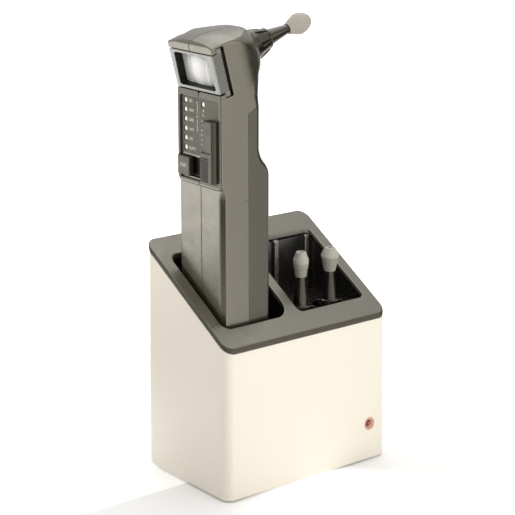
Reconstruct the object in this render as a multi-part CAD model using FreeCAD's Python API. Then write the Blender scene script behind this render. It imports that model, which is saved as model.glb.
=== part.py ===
import FreeCAD, Part
import math
import os

V = FreeCAD.Vector
os.makedirs("parts", exist_ok=True)

# ----------------------------------------------------------------------------
# Handheld screening audiometer standing in its charging stand, with one ear
# tip mounted and two more in the tray.  Millimetres, +Z up, +X to the right
# along the stand's front face, +Y to the back.  Heights in the variables
# below count from the bottom edge of the stand's shell; every solid is lifted
# by FOOT at export, so z = 0 is the underside of the rubber feet.
# ----------------------------------------------------------------------------

# stand
FOOT = 1.0            # rubber feet below the shell's edge
W = 110.0             # stand width at mid height
D = 71.66             # stand depth
HF = 80.72            # shell height at the front
HB = 124.04           # shell height at the back
DRAFT = 0.95          # each side is this much wider at the bottom
R_STAND = 5.4         # vertical corner radius
WALL = 2.5
DECK_T = 2.87         # deck thickness, measured vertically
DECK_OVER = 0.37      # deck overhang beyond the shell
R_DECK = 6.0
SLOT = (-47.7, -3.5, -24.6, 24.2)      # handle slot in plan: x0, x1, y0, y1
POCKET = (2.8, 48.5, -24.4, 23.4)      # tip pocket in plan
WELL_FLOOR = 45.7
TRAY_FLOOR = 87.0
CUP_FLOOR = 76.3
LED_X, LED_Z = 43.4, 20.5              # charge light on the front face
JACK_X, JACK_Z = 34.5, 17.0            # power inlet on the rear face

# instrument
Y0, Y1 = -22.0, 15.5                   # side faces
YS = -3.0                              # seam between the two housing halves
YC = -3.25                             # centre of the head
X_FRONT = -46.1                        # lower front face
X_BACK = -14.15                        # back of the battery handle
X_NECK = -20.55                        # back of the slimmer upper part
Z_BOT = 46.0                           # seated height of the handle's end
X_PANEL = -47.3                        # control panel lip
X_FLOOR = -46.2                        # control panel recess floor, lamp half
X_FLOOR_R = -46.95                     # the same in the shallower slider half
X_INNER = -43.4                        # inside of the front wall
Z_P0, Z_P1 = 162.7, 212.2              # control panel, bottom and top
X_SEAM = -29.6                         # side seam of the rear cover

# head: optical axis through O, tilted TILT degrees up towards +X
OX, OZ = -50.1, 222.3
TILT = 15.0
NOSE_S, NOSE_R = 33.0, 12.75           # nose rim, distance along axis and radius

# specula: local height 0 is 3.5 above the skirt's lower edge
TIP_S = 38.7                           # mounted speculum flange along the axis
TIP1_X, TIP2_X, TIP_Y = 12.0, 32.5, -14.0
TIP_Z = 80.0                           # stored speculum flange height

# travels
BTN_TRAVEL = 1.2
SLIDER_TRAVEL = 7.0
PIN_TRAVEL = 0.8

SL = (HB - HF) / D


def plane_z(y):
    return HF + SL * (y + D / 2.0)


# ---------------------------------------------------------------- helpers
def box(x0, x1, y0, y1, z0, z1):
    return Part.makeBox(x1 - x0, y1 - y0, z1 - z0, V(x0, y0, z0))


def cyl(r, p, d, h):
    return Part.makeCylinder(r, h, V(*p), V(*d))


def xy(z):
    return lambda a, b: V(a, b, z)


def xz(y):
    return lambda a, b: V(a, y, b)


def yz(x):
    return lambda a, b: V(x, a, b)


def rounded_wire(pts, m):
    """Closed wire through (a, b, radius) corners, mapped to space by m."""
    n = len(pts)
    ends = []
    for i in range(n):
        p = pts[i]
        r = p[2] if len(p) > 2 else 0.0
        if r <= 0:
            ends.append(((p[0], p[1]), None, (p[0], p[1])))
            continue
        a, b = pts[i - 1], pts[(i + 1) % n]
        v1 = (a[0] - p[0], a[1] - p[1])
        v2 = (b[0] - p[0], b[1] - p[1])
        l1, l2 = math.hypot(*v1), math.hypot(*v2)
        v1 = (v1[0] / l1, v1[1] / l1)
        v2 = (v2[0] / l2, v2[1] / l2)
        ang = math.acos(max(-1, min(1, v1[0] * v2[0] + v1[1] * v2[1])))
        t = r / math.tan(ang / 2)
        bis = (v1[0] + v2[0], v1[1] + v2[1])
        lb = math.hypot(*bis)
        bis = (bis[0] / lb, bis[1] / lb)
        c = (p[0] + bis[0] * r / math.sin(ang / 2), p[1] + bis[1] * r / math.sin(ang / 2))
        ends.append(((p[0] + v1[0] * t, p[1] + v1[1] * t),
                     (c[0] - bis[0] * r, c[1] - bis[1] * r),
                     (p[0] + v2[0] * t, p[1] + v2[1] * t)))
    edges = []
    for i in range(n):
        t1, mid, t2 = ends[i]
        if mid:
            edges.append(Part.Arc(m(*t1), m(*mid), m(*t2)).toShape())
        nx = ends[(i + 1) % n][0]
        if math.hypot(nx[0] - t2[0], nx[1] - t2[1]) > 1e-6:
            edges.append(Part.makeLine(m(*t2), m(*nx)))
    return Part.Wire(edges)


def prism(pts, m, d):
    return Part.Face(rounded_wire(pts, m)).extrude(V(*d))


def rrect(x0, x1, y0, y1, r):
    rs = r if isinstance(r, (tuple, list)) else (r, r, r, r)
    return [(x0, y0, rs[0]), (x1, y0, rs[1]), (x1, y1, rs[2]), (x0, y1, rs[3])]


def rbox(x0, x1, y0, y1, z0, z1, r):
    return prism(rrect(x0, x1, y0, y1, r), xy(z0), (0, 0, z1 - z0))


def slab(o0, o1):
    """Slanted slab between the stand's top plane moved up by o0 and by o1."""
    return prism([(-70, plane_z(-70) + o0), (70, plane_z(70) + o0),
                  (70, plane_z(70) + o1), (-70, plane_z(-70) + o1)],
                 yz(-80), (160, 0, 0))


def fuse(*s):
    r = s[0]
    for t in s[1:]:
        r = r.fuse(t)
    return r.removeSplitter()


def revolve(pts):
    """Solid of revolution about Z from (height, radius) points."""
    w = Part.makePolygon([V(r, 0, h) for h, r in pts] + [V(pts[0][1], 0, pts[0][0])])
    return Part.Face(w).revolve(V(0, 0, 0), V(0, 0, 1), 360)


def on_axis(s, along=0.0):
    """Put a shape built along local +Z onto the head's optical axis."""
    s = s.copy()
    s.translate(V(0, 0, along))
    s.rotate(V(0, 0, 0), V(0, 1, 0), 90 - TILT)
    s.translate(V(OX, YC, OZ))
    return s


def head_box(u0, u1, v0, v1, y0, y1):
    """Box in the head's own frame: u along the axis, v up across it."""
    # local +Z is the axis, local -X is v, so the box is built there
    return on_axis(box(-v1, -v0, y0 - YC, y1 - YC, u0, u1))


written = []


def out(name, *solids):
    s = solids[0] if len(solids) == 1 else Part.makeCompound(list(solids))
    s = s.copy()
    s.translate(V(0, 0, FOOT))
    s.exportStep("parts/%s.step" % name)
    written.append((name, s))


# ================================================================= STAND
def half_w(z):
    return W / 2 + DRAFT * (1 - z / ((HF + HB) / 2))


def shell_loft(inset, z0=0.0, z1=131.0):
    ws = []
    for z in (z0, z1):
        hw = half_w(z) - inset
        yf = -(D / 2 + DRAFT * (1 - z / HF)) + inset
        yb = D / 2 + DRAFT * (1 - z / HB) - inset
        ws.append(rounded_wire(rrect(-hw, hw, yf, yb, max(R_STAND - inset, 1.0)), xy(z)))
    return Part.makeLoft(ws, True, True)


body = shell_loft(0.0).cut(shell_loft(WALL, -1.0, 132.0))
bosses = [(sx * 49.6, sy * 30.2) for sx in (-1, 1) for sy in (-1, 1)]
for bx, by in bosses:
    post = cyl(4.2, (bx, by, 3.0), (0, 0, 1), 52.0).common(shell_loft(0.6, -1.0, 132.0))
    body = body.fuse(post)
body = body.common(slab(-400, 0))
for bx, by in bosses:
    body = body.cut(cyl(1.4, (bx, by, 2.0), (0, 0, 1), 18.0))
body = body.cut(cyl(3.15, (LED_X, -50, LED_Z), (0, 1, 0), 25))
body = body.cut(cyl(3.65, (LED_X, -50, LED_Z), (0, 1, 0), 13.7))
body = body.cut(cyl(4.25, (JACK_X, 20, JACK_Z), (0, 1, 0), 25))
out("stand_shell", body)

# deck with the handle slot and the tip pocket, and a locating skirt below
ho = W / 2 + DECK_OVER
do = D / 2 + DECK_OVER
slot_pts = rrect(*SLOT, (5, 9, 9, 5))
pocket_pts = rrect(*POCKET, 3)
deck = prism(rrect(-ho, ho, -do, do, R_DECK), xy(40), (0, 0, 120)).common(slab(0, DECK_T))
skirt = rbox(-52.0, 52.0, -32.8, 32.8, 60, 150, 3).cut(rbox(-50.6, 50.6, -31.2, 31.2, 50, 160, 2))
skirt = skirt.common(slab(-4.5, 0))
deck = deck.fuse(skirt)
deck = deck.cut(prism(slot_pts, xy(40), (0, 0, 120)))
deck = deck.cut(prism(pocket_pts, xy(40), (0, 0, 120)))
out("deck_bezel", deck.removeSplitter())

# well that holds the handle: four walls, a floor and guide ribs
x0, x1, y0, y1 = SLOT
t = 1.8
well = rbox(x0 - t, x1 + t, y0 - t, y1 + t, WELL_FLOOR - 2.0, 150, (6, 10, 10, 6))
well = well.cut(prism(slot_pts, xy(WELL_FLOOR), (0, 0, 120)))
ribs = [box(X_BACK + 0.3, x1 + 0.8, -13, -11, WELL_FLOOR - 1, 80),
        box(X_BACK + 0.3, x1 + 0.8, 4, 6, WELL_FLOOR - 1, 80),
        box(-41, -39, Y1 + 0.3, y1 + 0.8, WELL_FLOOR - 1, 78),
        box(-23, -21, Y1 + 0.3, y1 + 0.8, WELL_FLOOR - 1, 78),
        box(-41, -39, y0 - 0.8, Y0 - 0.3, WELL_FLOOR - 1, 76),
        box(-23, -21, y0 - 0.8, Y0 - 0.3, WELL_FLOOR - 1, 76),
        box(x0 - 0.8, X_FRONT - 0.3, -14, -12, WELL_FLOOR - 1, 76),
        box(x0 - 0.8, X_FRONT - 0.3, 4, 6, WELL_FLOOR - 1, 76)]
for r in ribs:
    well = well.fuse(r)
well = well.common(slab(-400, 0))
pins = [(-31.0, -10.0), (-31.0, 3.0)]
for px, py in pins:
    well = well.cut(cyl(1.3, (px, py, 40), (0, 0, 1), 10))
out("handle_well", well.removeSplitter())

# tip tray: walls, a floor with two cups, a peg in each cup, two back ribs
x0, x1, y0, y1 = POCKET
t = 1.6
tray = rbox(x0 - t, x1 + t, y0 - t, y1 + t, TRAY_FLOOR - 2.0, 150, 4)
tray = tray.cut(prism(pocket_pts, xy(TRAY_FLOOR), (0, 0, 80)))
for cx in (TIP1_X, TIP2_X):
    tray = tray.fuse(cyl(10.4, (cx, TIP_Y, CUP_FLOOR - 1.5), (0, 0, 1), TRAY_FLOOR - CUP_FLOOR + 1.5))
for rx0, rx1 in ((22.6, 25.6), (44.7, 47.3)):
    tray = tray.fuse(box(rx0, rx1, y1 - 2.0, y1 + 0.6, TRAY_FLOOR - 1, 140))
tray = tray.common(fuse(slab(-400, -0.9), slab(-0.9, 0).cut(box(22.0, 48.0, 21.0, y1, 60, 150))))
for cx in (TIP1_X, TIP2_X):
    tray = tray.cut(cyl(9.3, (cx, TIP_Y, CUP_FLOOR), (0, 0, 1), 30))
    tray = tray.fuse(cyl(1.6, (cx, TIP_Y, CUP_FLOOR - 0.5), (0, 0, 1), 15.0))
    tray = tray.fuse(cyl(2.6, (cx, TIP_Y, CUP_FLOOR - 0.5), (0, 0, 1), 7.0))
out("tip_tray", tray.removeSplitter())

# base plate with feet recesses, screw seats and board posts
feet = [(sx * 41.0, sy * 22.0) for sx in (-1, 1) for sy in (-1, 1)]
posts = [(sx * 34.0, sy) for sx in (-1, 1) for sy in (-18.0, 24.0)]
base = rbox(-53.2, 53.2, -34.0, 34.0, 0.5, 3.0, 2.6)
for px, py in posts:
    base = base.fuse(cyl(3.0, (px, py, 2.5), (0, 0, 1), 6.5))
for bx, by in bosses:
    base = base.cut(cyl(1.6, (bx, by, -1), (0, 0, 1), 5))
    base = base.cut(cyl(3.0, (bx, by, -1), (0, 0, 1), 2.9))
for fx, fy in feet:
    base = base.cut(cyl(5.6, (fx, fy, -1), (0, 0, 1), 2.3))
out("base_plate", base)

out("rubber_feet", *[cyl(5.5, (fx, fy, -FOOT), (0, 0, 1), FOOT + 1.3) for fx, fy in feet])
out("base_screws", *[cyl(2.8, (bx, by, 0.7), (0, 0, 1), 1.2).fuse(
    cyl(1.35, (bx, by, 1.9), (0, 0, 1), 14.0)).cut(
    box(bx - 1.9, bx + 1.9, by - 0.35, by + 0.35, 0.5, 1.3)).removeSplitter() for bx, by in bosses])

# charging electronics on the base plate
board = box(-40, 40, -24, 30, 9.0, 10.6)
out("charge_board", board)
out("charge_components",
    box(-30, -12, -14, 6, 10.6, 22.0),
    cyl(5.0, (0, -8, 10.6), (0, 0, 1), 14.0),
    cyl(5.0, (12.5, -8, 10.6), (0, 0, 1), 14.0),
    box(2, 16, 8, 16, 10.6, 13.2),
    box(22, 30, -16, -8, 10.6, 15.0))
jack = box(JACK_X - 5, JACK_X + 5, 22.5, 33.2, 10.6, 23.0).fuse(
    cyl(4.1, (JACK_X, 33.0, JACK_Z), (0, 1, 0), 3.3))
jack = jack.cut(cyl(2.8, (JACK_X, 26.8, JACK_Z), (0, 1, 0), 12))
jack = jack.fuse(cyl(1.0, (JACK_X, 26.0, JACK_Z), (0, 1, 0), 9.3))
out("power_inlet", jack.removeSplitter())

ring = cyl(3.6, (LED_X, -36.75, LED_Z), (0, 1, 0), 0.4)
ring = ring.fuse(cyl(3.1, (LED_X, -36.5, LED_Z), (0, 1, 0), 5.1))
ring = ring.cut(cyl(1.6, (LED_X, -40, LED_Z), (0, 1, 0), 12))
ring = ring.cut(Part.makeCone(3.0, 1.6, 1.5, V(LED_X, -36.8, LED_Z), V(0, 1, 0)))
out("led_bezel", ring.removeSplitter())
led = cyl(1.5, (LED_X, -35.4, LED_Z), (0, 1, 0), 6.0).fuse(
    Part.makeSphere(1.5, V(LED_X, -35.2, LED_Z)))
out("charge_led", led.removeSplitter())

# contact block under the well and its two sprung pins
blk = box(-37, -25, -14, 7, 33.5, WELL_FLOOR - 2.0)
for px, py in pins:
    blk = blk.cut(cyl(0.80, (px, py, 35.0), (0, 0, 1), 20))
out("contact_block", blk)
PIN_TOP = Z_BOT - 0.12
for nm, (px, py) in zip(("charge_pin_a", "charge_pin_b"), pins):
    pin = cyl(0.75, (px, py, 36.5), (0, 0, 1), PIN_TOP - 36.5)
    out(nm, pin)

# ============================================================ INSTRUMENT
# side outline of the handle: battery handle, bulge, slim neck
handle_pts = [(X_FRONT, Z_BOT), (X_BACK, Z_BOT), (X_BACK, 170.2, 10.0),
              (X_NECK, 178.4, 10.0), (X_NECK, 216.0), (X_FRONT, 216.0)]
handle = prism(handle_pts, xz(Y0), (0, Y1 - Y0, 0))


def pick(s, f):
    return [e for e in s.Edges if f(e)]


def rear(e):
    c = e.CenterOfMass
    b = e.BoundBox
    return (c.x > X_NECK - 1 and b.ZLength > 3 and (abs(c.y - Y0) < 1e-3 or abs(c.y - Y1) < 1e-3)
            and b.YLength < 1e-3)


handle = handle.makeFillet(5.0, pick(handle, rear))


def front(e):
    c = e.CenterOfMass
    b = e.BoundBox
    return (abs(c.x - X_FRONT) < 1e-3 and b.ZLength > 100 and b.YLength < 1e-3)


handle = handle.makeChamfer(2.0, pick(handle, front))

panel = prism([(Y0, Z_P0, 3.2), (Y1, Z_P0, 3.2), (Y1, Z_P1), (Y0, Z_P1)], yz(X_PANEL), (-40 - X_PANEL, 0, 0))


def uv(u, v):
    c, s = math.cos(math.radians(TILT)), math.sin(math.radians(TILT))
    return (OX + u * c - v * s, OZ + u * s + v * c)


# head block, side outline: lens seat, brow, roof
hb = [(-43.0, 204.0), (X_PANEL, 207.0), (X_PANEL, Z_P1), uv(0.3, -10.2), uv(0.3, 11.0),
      (-53.1, 236.2, 0.8), (-52.6, 238.0, 0.8), (-42.0, 241.6), (-32.6, 242.9), (-30.5, 243.0),
      (-30.5, 204.0)]
head = prism(hb, xz(Y0), (0, Y1 - Y0, 0))


def arch_section(x, ze, zc):
    a, m, b = V(x, Y0, ze), V(x, YC, zc), V(x, Y1, ze)
    return Part.Wire([Part.makeLine(V(x, Y0, 200), a), Part.Arc(a, m, b).toShape(),
                      Part.makeLine(b, V(x, Y1, 200)), Part.makeLine(V(x, Y1, 200), V(x, Y0, 200))])


roof = Part.makeLoft([arch_section(-56, 235.9, 237.5), arch_section(-53, 236.2, 238.0),
                      arch_section(-46, 238.2, 240.4), arch_section(-38.6, 239.0, 241.9),
                      arch_section(-30, 239.2, 243.1)], True, False)
head = head.common(roof)


# nose: sections that pass from a rounded rectangle to the round rim
def nose_section(cx, cz, tilt, hw, hu, hd, n, count=24):
    c, s = math.cos(math.radians(tilt)), math.sin(math.radians(tilt))
    pts = []
    for i in range(count):
        th = 2 * math.pi * (i + 0.5) / count
        k = (abs(math.cos(th)) ** n + abs(math.sin(th)) ** n) ** (-1.0 / n)
        yy, vv = hw * k * math.cos(th), k * math.sin(th)
        vv *= hu if vv > 0 else hd
        pts.append(V(cx - vv * s, YC + yy, cz + vv * c))
    bs = Part.BSplineCurve()
    bs.interpolate(Points=pts, PeriodicFlag=True)
    return Part.Wire([bs.toShape()])


ca, sa = math.cos(math.radians(TILT)), math.sin(math.radians(TILT))
nose = Part.makeLoft([
    nose_section(-33.5, 223.4, 0.0, 18.35, 18.2, 16.5, 5.0),
    nose_section(-27.5, 225.8, 6.0, 17.6, 16.9, 16.6, 3.4),
    nose_section(OX + 28.0 * ca, OZ + 28.0 * sa, 12.0, 15.4, 14.3, 14.9, 2.6),
    nose_section(OX + NOSE_S * ca, OZ + NOSE_S * sa, TILT, NOSE_R, NOSE_R, NOSE_R, 2.0),
], True, False)

# chin: fills the corner between the nose and the neck
chin = prism([(-40, 204.0), (X_NECK - 0.4, 203.0), (X_NECK + 0.9, 211.0), (-17.4, 215.0), (-30, 224.0),
              (-40, 224.0)], xz(YC - 13.5), (0, 27, 0))

outer = handle.fuse(panel).fuse(head).fuse(nose).fuse(chin)
outer = outer.removeSplitter()

# cavities
cav = fuse(rbox(-43.6, -16.9, Y0 + 2.3, Y1 - 2.3, Z_BOT + 2.6, 164.0, 3.0),
           rbox(X_INNER, -23.8, Y0 + 2.3, Y1 - 2.3, 160.0, 209.3, 2.0))
bore = on_axis(Part.makeCylinder(9.0, 40.0), 6.0)
tube_hole = on_axis(Part.makeCylinder(1.05, 30.0, V(10.6, 0, 0)), 14.0)
outer = outer.cut(cav)
outer = outer.cut(bore).cut(tube_hole)
outer = outer.cut(cyl(2.6, (-28.6, YC, 205.0), (0, 0, 1), 7.0))

# slot for the sliding lens, open to the front and to both sides; its taller
# rear part runs behind the brow and behind the control panel's top edge
outer = outer.cut(head_box(-5.0, 3.4, -10.9, 10.9, Y0 - 3, Y1 + 3))
outer = outer.cut(head_box(3.2, 8.0, -13.1, 13.3, Y0 - 3, Y1 + 3))

# control panel: recess, button well, slider slot, lamp holes
outer = outer.cut(prism([(-19.5, 165.4, 1.8), (YS, 165.4), (YS, 208.5), (-19.5, 208.5, 1.5)],
                        yz(X_PANEL - 1), (X_FLOOR_R - X_PANEL + 1, 0, 0)))
outer = outer.cut(prism([(YS, 165.4), (13.0, 165.4), (13.0, 208.5, 1.5), (YS, 208.5)],
                        yz(X_PANEL - 1), (X_FLOOR - X_PANEL + 1, 0, 0)))
outer = outer.cut(box(X_PANEL - 1, -44.7, 3.5, 14.4, 166.3, 177.0))
outer = outer.cut(box(X_PANEL - 1, -44.9, -2.6, 3.6, 166.3, 177.0))
outer = outer.cut(box(X_PANEL - 1, X_INNER + 1, -16.0, -11.6, 177.5, 194.5))
outer = outer.cut(cyl(1.75, (X_PANEL - 1, 9.0, 171.5), (1, 0, 0), 8))
LED_Y = 9.6
READY = (-6.4, 205.5)
led_z = [205.8 - 4.96 * i for i in range(6)]
for z in led_z:
    outer = outer.cut(cyl(1.6, (X_PANEL - 1, LED_Y, z), (1, 0, 0), 8))
outer = outer.cut(cyl(1.6, (X_PANEL - 1,) + READY, (1, 0, 0), 8))

# contact pads in the bottom
for px, py in pins:
    outer = outer.cut(cyl(2.3, (px, py, Z_BOT - 1), (0, 0, 1), 1.75))

# rear cover and the two halves
cov_pts = [(X_SEAM, 30), (X_SEAM, 201.0), (-24.2, 203.7), (-5, 208.5), (-5, 30)]
cov = prism(cov_pts, xz(Y0 - 5), (0, 50, 0))
cov_gap = prism([(X_SEAM - 0.12, 30), (X_SEAM - 0.12, 201.1), (-24.3, 203.85), (-5, 208.65), (-5, 30)],
                xz(Y0 - 5), (0, 50, 0))
rear_cover = outer.common(cov)
front_part = outer.cut(cov_gap)

screws = [(-40.9, 57.0), (-40.9, 108.0), (-40.9, 155.0)]
right = front_part.common(box(-80, 20, -40, YS - 0.05, 0, 300))
left = front_part.common(box(-80, 20, YS + 0.05, 40, 0, 300))
for sx, sz in screws:
    right = right.fuse(cyl(2.6, (sx, Y0 + 1.0, sz), (0, 1, 0), YS - 0.05 - Y0 - 1.0))
    left = left.fuse(cyl(2.6, (sx, YS + 0.05, sz), (0, 1, 0), Y1 - 1.0 - YS - 0.05))
for sx, sz in screws:
    right = right.cut(cyl(1.05, (sx, -14.0, sz), (0, 1, 0), 20))
    left = left.cut(cyl(1.3, (sx, YS - 1, sz), (0, 1, 0), 30))
    left = left.cut(cyl(2.2, (sx, Y1 - 1.7, sz), (0, 1, 0), 5))
out("housing_right", right.removeSplitter())
out("housing_left", left.removeSplitter())
out("rear_cover", rear_cover.removeSplitter())
out("housing_screws", *[cyl(2.05, (sx, Y1 - 1.6, sz), (0, 1, 0), 1.3).fuse(
    cyl(1.0, (sx, -13.5, sz), (0, 1, 0), Y1 - 1.6 + 13.5)).cut(
    box(sx - 1.4, sx + 1.4, Y1 - 0.9, Y1 + 1, sz - 0.3, sz + 0.3)).removeSplitter() for sx, sz in screws])

# nose ring with the spigot that carries the speculum
out("nose_ring", on_axis(revolve([(NOSE_S + 0.1, 6.3), (NOSE_S + 0.1, 10.7), (34.7, 10.7), (35.0, 10.4),
                                  (35.0, 6.9), (40.6, 6.3), (40.6, 5.4), (NOSE_S + 0.1, 5.4)])))


# specula and silicone ear tips, built along +Z from 3.5 below local zero;
# a shaft is (base radius, radius where the ear tip begins, end radius,
# height where the ear tip begins, length)
def speculum(shaft, fins=6):
    rc0, rm, rc1, zm, length = shaft
    s = revolve([(-3.5, 8.95), (-2.6, 8.95), (-2.4, 8.75), (0.5, 8.2), (2.6, 7.3), (6.1, 6.15), (8.8, 5.5),
                 (8.85, 5.7), (9.7, 5.65), (10.9, rc0 - 0.1), (zm, rm), (length, rc1),
                 (length, rc1 - 0.75), (zm, rm - 0.8), (9.6, rc0 - 1.0), (8.2, 4.3), (4.4, 5.2),
                 (2.6, 6.4), (1.0, 7.4), (-1.0, 7.6), (-3.5, 8.3)])
    for i in range(fins):
        f = prism([(7.8, 0.4), (8.75, 0.4), (8.6, 1.6), (7.6, 5.0), (6.2, 8.5), (5.3, 8.5), (5.8, 5.4),
                   (6.8, 2.6)], xz(-0.35), (0, 0.7, 0))
        f.rotate(V(0, 0, 0), V(0, 0, 1), 360.0 * i / fins)
        s = s.fuse(f)
    return s.removeSplitter()


def ear_tip(profile, shaft):
    """profile: (height, radius) above the ear tip's lower edge."""
    rc0, rm, rc1, zm, length = shaft
    top = profile[-1][0] + zm
    g = 0.06
    pts = [(zm + h, r) for h, r in profile]
    pts += [(top, 1.3), (length + 0.1, 1.3), (length + 0.1, rc1 + g), (zm + profile[0][0], rm + g)]
    return revolve(pts)


# mounted: the large tip
SH_M = (4.4, 2.4, 1.6, 24.0, 36.0)
prof_m = [(0, 2.9), (0.3, 3.1), (3.2, 4.3), (6.3, 5.45), (7.3, 5.65), (8.4, 5.65), (10.5, 5.2),
          (12.8, 4.2), (14.2, 3.2), (14.8, 2.4)]
out("mounted_speculum", on_axis(speculum(SH_M), TIP_S))
out("mounted_ear_tip", on_axis(ear_tip(prof_m, SH_M), TIP_S))

SH_1 = (4.3, 2.6, 1.5, 25.4, 37.0)
prof_1 = [(0.55, 3.0), (0.8, 3.15), (5.0, 3.6), (5.6, 3.95), (8.2, 4.2), (10.4, 4.2), (10.7, 4.0),
          (12.4, 3.3), (13.8, 2.85), (14.2, 2.65), (14.4, 2.35)]
SH_2 = (4.3, 2.4, 1.5, 24.6, 36.0)
prof_2 = [(1.0, 3.0), (1.25, 3.2), (5.0, 3.95), (8.8, 4.7), (9.0, 4.9), (10.2, 4.9), (10.4, 4.7),
          (12.0, 4.05), (13.2, 3.35), (13.8, 2.95), (14.1, 2.6)]
for nm, tx, shaft, prof in (("small", TIP1_X, SH_1, prof_1), ("medium", TIP2_X, SH_2, prof_2)):
    sp = speculum(shaft)
    sp.translate(V(tx, TIP_Y, TIP_Z))
    out(nm + "_speculum", sp)
    et = ear_tip(prof, shaft)
    et.translate(V(tx, TIP_Y, TIP_Z))
    out(nm + "_ear_tip", et)

# sliding lens frame: a front block with a window wider at its foot, and a
# taller rear plate that runs in the slot; the lens sits in its back
LY0, LY1 = -21.5, 14.8
WIN = [(-18.8, -8.8), (11.8, -8.8), (11.0, 9.0), (-16.5, 9.0)]      # (y, v)


def window(inset, u0, u1):
    pts = []
    for y, v in WIN:
        sy = inset if y < -4 else -inset
        sv = inset if v < 0 else -inset
        pts.append((-(v + sv), y + sy - YC, 1.6))
    return on_axis(prism(pts, xy(u0), (0, 0, u1 - u0)))


frame = head_box(0.0, 3.6, -10.4, 10.4, LY0, LY1)
frame = frame.fuse(head_box(3.5, 6.3, -12.8, 12.9, LY0, LY1))
frame = frame.cut(window(0.0, -1.0, 8.0))
frame = frame.cut(head_box(4.8, 8.0, -9.8, 9.8, -19.6, 13.2))
out("lens_frame", frame.removeSplitter())
lens = head_box(4.85, 6.2, -9.75, 9.75, -19.55, 13.15)
dome = on_axis(Part.makeSphere(34.0, V(0, 0, 34.0)), 2.6)
lens = lens.fuse(window(0.4, 0.0, 5.0).common(dome))
out("lens", lens.removeSplitter())

# level slider: narrow upper part, wider ribbed lower part, stem through the slot
sl_x0, sl_x1 = -50.1, X_FLOOR_R - 0.3
SL_Y0, SL_Y1, SL_Y2 = -18.7, -10.4, -7.5   # near edge, far edges above and below
slider = box(sl_x0, sl_x1, SL_Y0, SL_Y1, 181.4, 198.3)
slider = slider.fuse(box(sl_x0, sl_x1, SL_Y0, SL_Y2, 166.4, 181.5)).removeSplitter()
slider = slider.makeChamfer(1.45, [e for e in slider.Edges if abs(e.CenterOfMass.x - sl_x0) < 1e-3
                                   and abs(e.CenterOfMass.y - SL_Y0) < 1e-3])
slider = slider.cut(box(sl_x0 - 1, sl_x0 + 0.6, -16.5, -2.0, 181.5, 182.7))
for i in range(10):
    slider = slider.fuse(prism([(sl_x0 + 0.2, 166.6 + 1.27 * i), (sl_x0 - 0.4, 167.0 + 1.27 * i),
                                (sl_x0 - 0.4, 167.3 + 1.27 * i), (sl_x0 + 0.2, 167.7 + 1.27 * i)],
                               xz(-13.9), (0, 6.1, 0)))
slider = slider.fuse(box(sl_x1 - 0.5, -42.6, -15.2, -12.4, 178.5, 186.0))
out("level_slider", slider.removeSplitter())

# start button with its stem
btn = box(-48.6, -46.0, 3.8, 14.1, 166.6, 176.7)
btn = btn.makeFillet(0.5, [e for e in btn.Edges if abs(e.CenterOfMass.x + 48.6) < 0.01])
btn = btn.fuse(cyl(1.5, (-46.2, 9.0, 171.5), (1, 0, 0), 2.7))
out("start_button", btn.removeSplitter())

# labels on the recess floor
lab = prism([(-2.8, 178.2), (12.8, 178.2), (12.8, 208.2, 1.4), (-2.8, 208.2)], yz(X_FLOOR - 0.15), (0.15, 0, 0))
for z in led_z:
    lab = lab.cut(cyl(1.62, (X_PANEL - 1, LED_Y, z), (1, 0, 0), 8))
out("frequency_label", lab)
lab = prism([(-19.3, 165.7, 1.7), (-3.9, 165.7), (-3.9, 208.2), (-19.3, 208.2, 1.4)],
            yz(X_FLOOR_R - 0.15), (0.15, 0, 0))
lab = lab.cut(cyl(1.62, (X_PANEL - 1,) + READY, (1, 0, 0), 8))
lab = lab.cut(box(-50, -40, -16.2, -11.4, 177.3, 194.7))
out("level_label", lab)


# indicator lamps, display board and the switches on it
def led_at(y, z, floor=X_FLOOR):
    s = cyl(1.5, (floor + 1.0, y, z), (1, 0, 0), -41.0 - floor - 1.0)
    dome = Part.makeSphere(1.9, V(floor + 2.3, y, z)).common(cyl(1.5, (floor, y, z), (1, 0, 0), 1.5))
    return s.fuse(dome).removeSplitter()


out("indicator_leds", *[led_at(LED_Y, z) for z in led_z])
out("ready_led", led_at(*READY, X_FLOOR_R))
out("display_board", box(-41.0, -39.6, -18.0, 12.4, 166.0, 208.6))
sw = box(-43.2, -41.0, -17.0, -10.6, 175.0, 197.0).cut(box(-44, -42.2, -15.6, -12.0, 178.2, 193.4))
out("slide_switch", sw)
out("start_switch", box(-42.2, -41.0, 6.5, 11.5, 169.0, 174.0))

# main board, cells, contact pads
out("main_board", box(-37.6, -36.0, -18.5, 11.5, 56.0, 208.0))
out("board_components",
    box(-39.4, -37.6, -14, -4, 90, 102), box(-39.4, -37.6, -2, 8, 118, 132),
    box(-39.0, -37.6, -14, -6, 132, 144), cyl(2.0, (-38.9, -16.2, 70.0), (0, 0, 1), 9.0).common(
        box(-41.0, -36.9, -19, -13, 60, 90)).cut(box(-37.6, -30, -19, -13, 60, 90)))
cells = []
for cy in (-11.1, 4.1):
    for cz in (51.0, 102.5):
        c = cyl(7.1, (-24.9, cy, cz), (0, 0, 1), 48.8)
        c = c.fuse(cyl(2.7, (-24.9, cy, cz + 48.8), (0, 0, 1), 1.2))
        cells.append(c.removeSplitter())
out("battery_cells", *cells)
out("contact_pads", *[cyl(2.25, (px, py, Z_BOT + 0.05), (0, 0, 1), 0.7) for px, py in pins])

# lamp in its socket, receiver and sound tube
out("lamp_socket", cyl(3.6, (-28.6, YC, 196.0), (0, 0, 1), 8.5))
out("lamp", cyl(2.3, (-28.6, YC, 204.5), (0, 0, 1), 4.0).fuse(Part.makeSphere(2.3, V(-28.6, YC, 208.5))))
out("receiver", rbox(-33.5, -25.0, 4.0, 11.5, 190.0, 204.0, 1.0))
out("sound_tube", on_axis(Part.makeCylinder(1.0, 16.2, V(10.6, 0, 0)).cut(
    Part.makeCylinder(0.6, 18.0, V(10.6, 0, -0.5))), 16.5))

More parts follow.
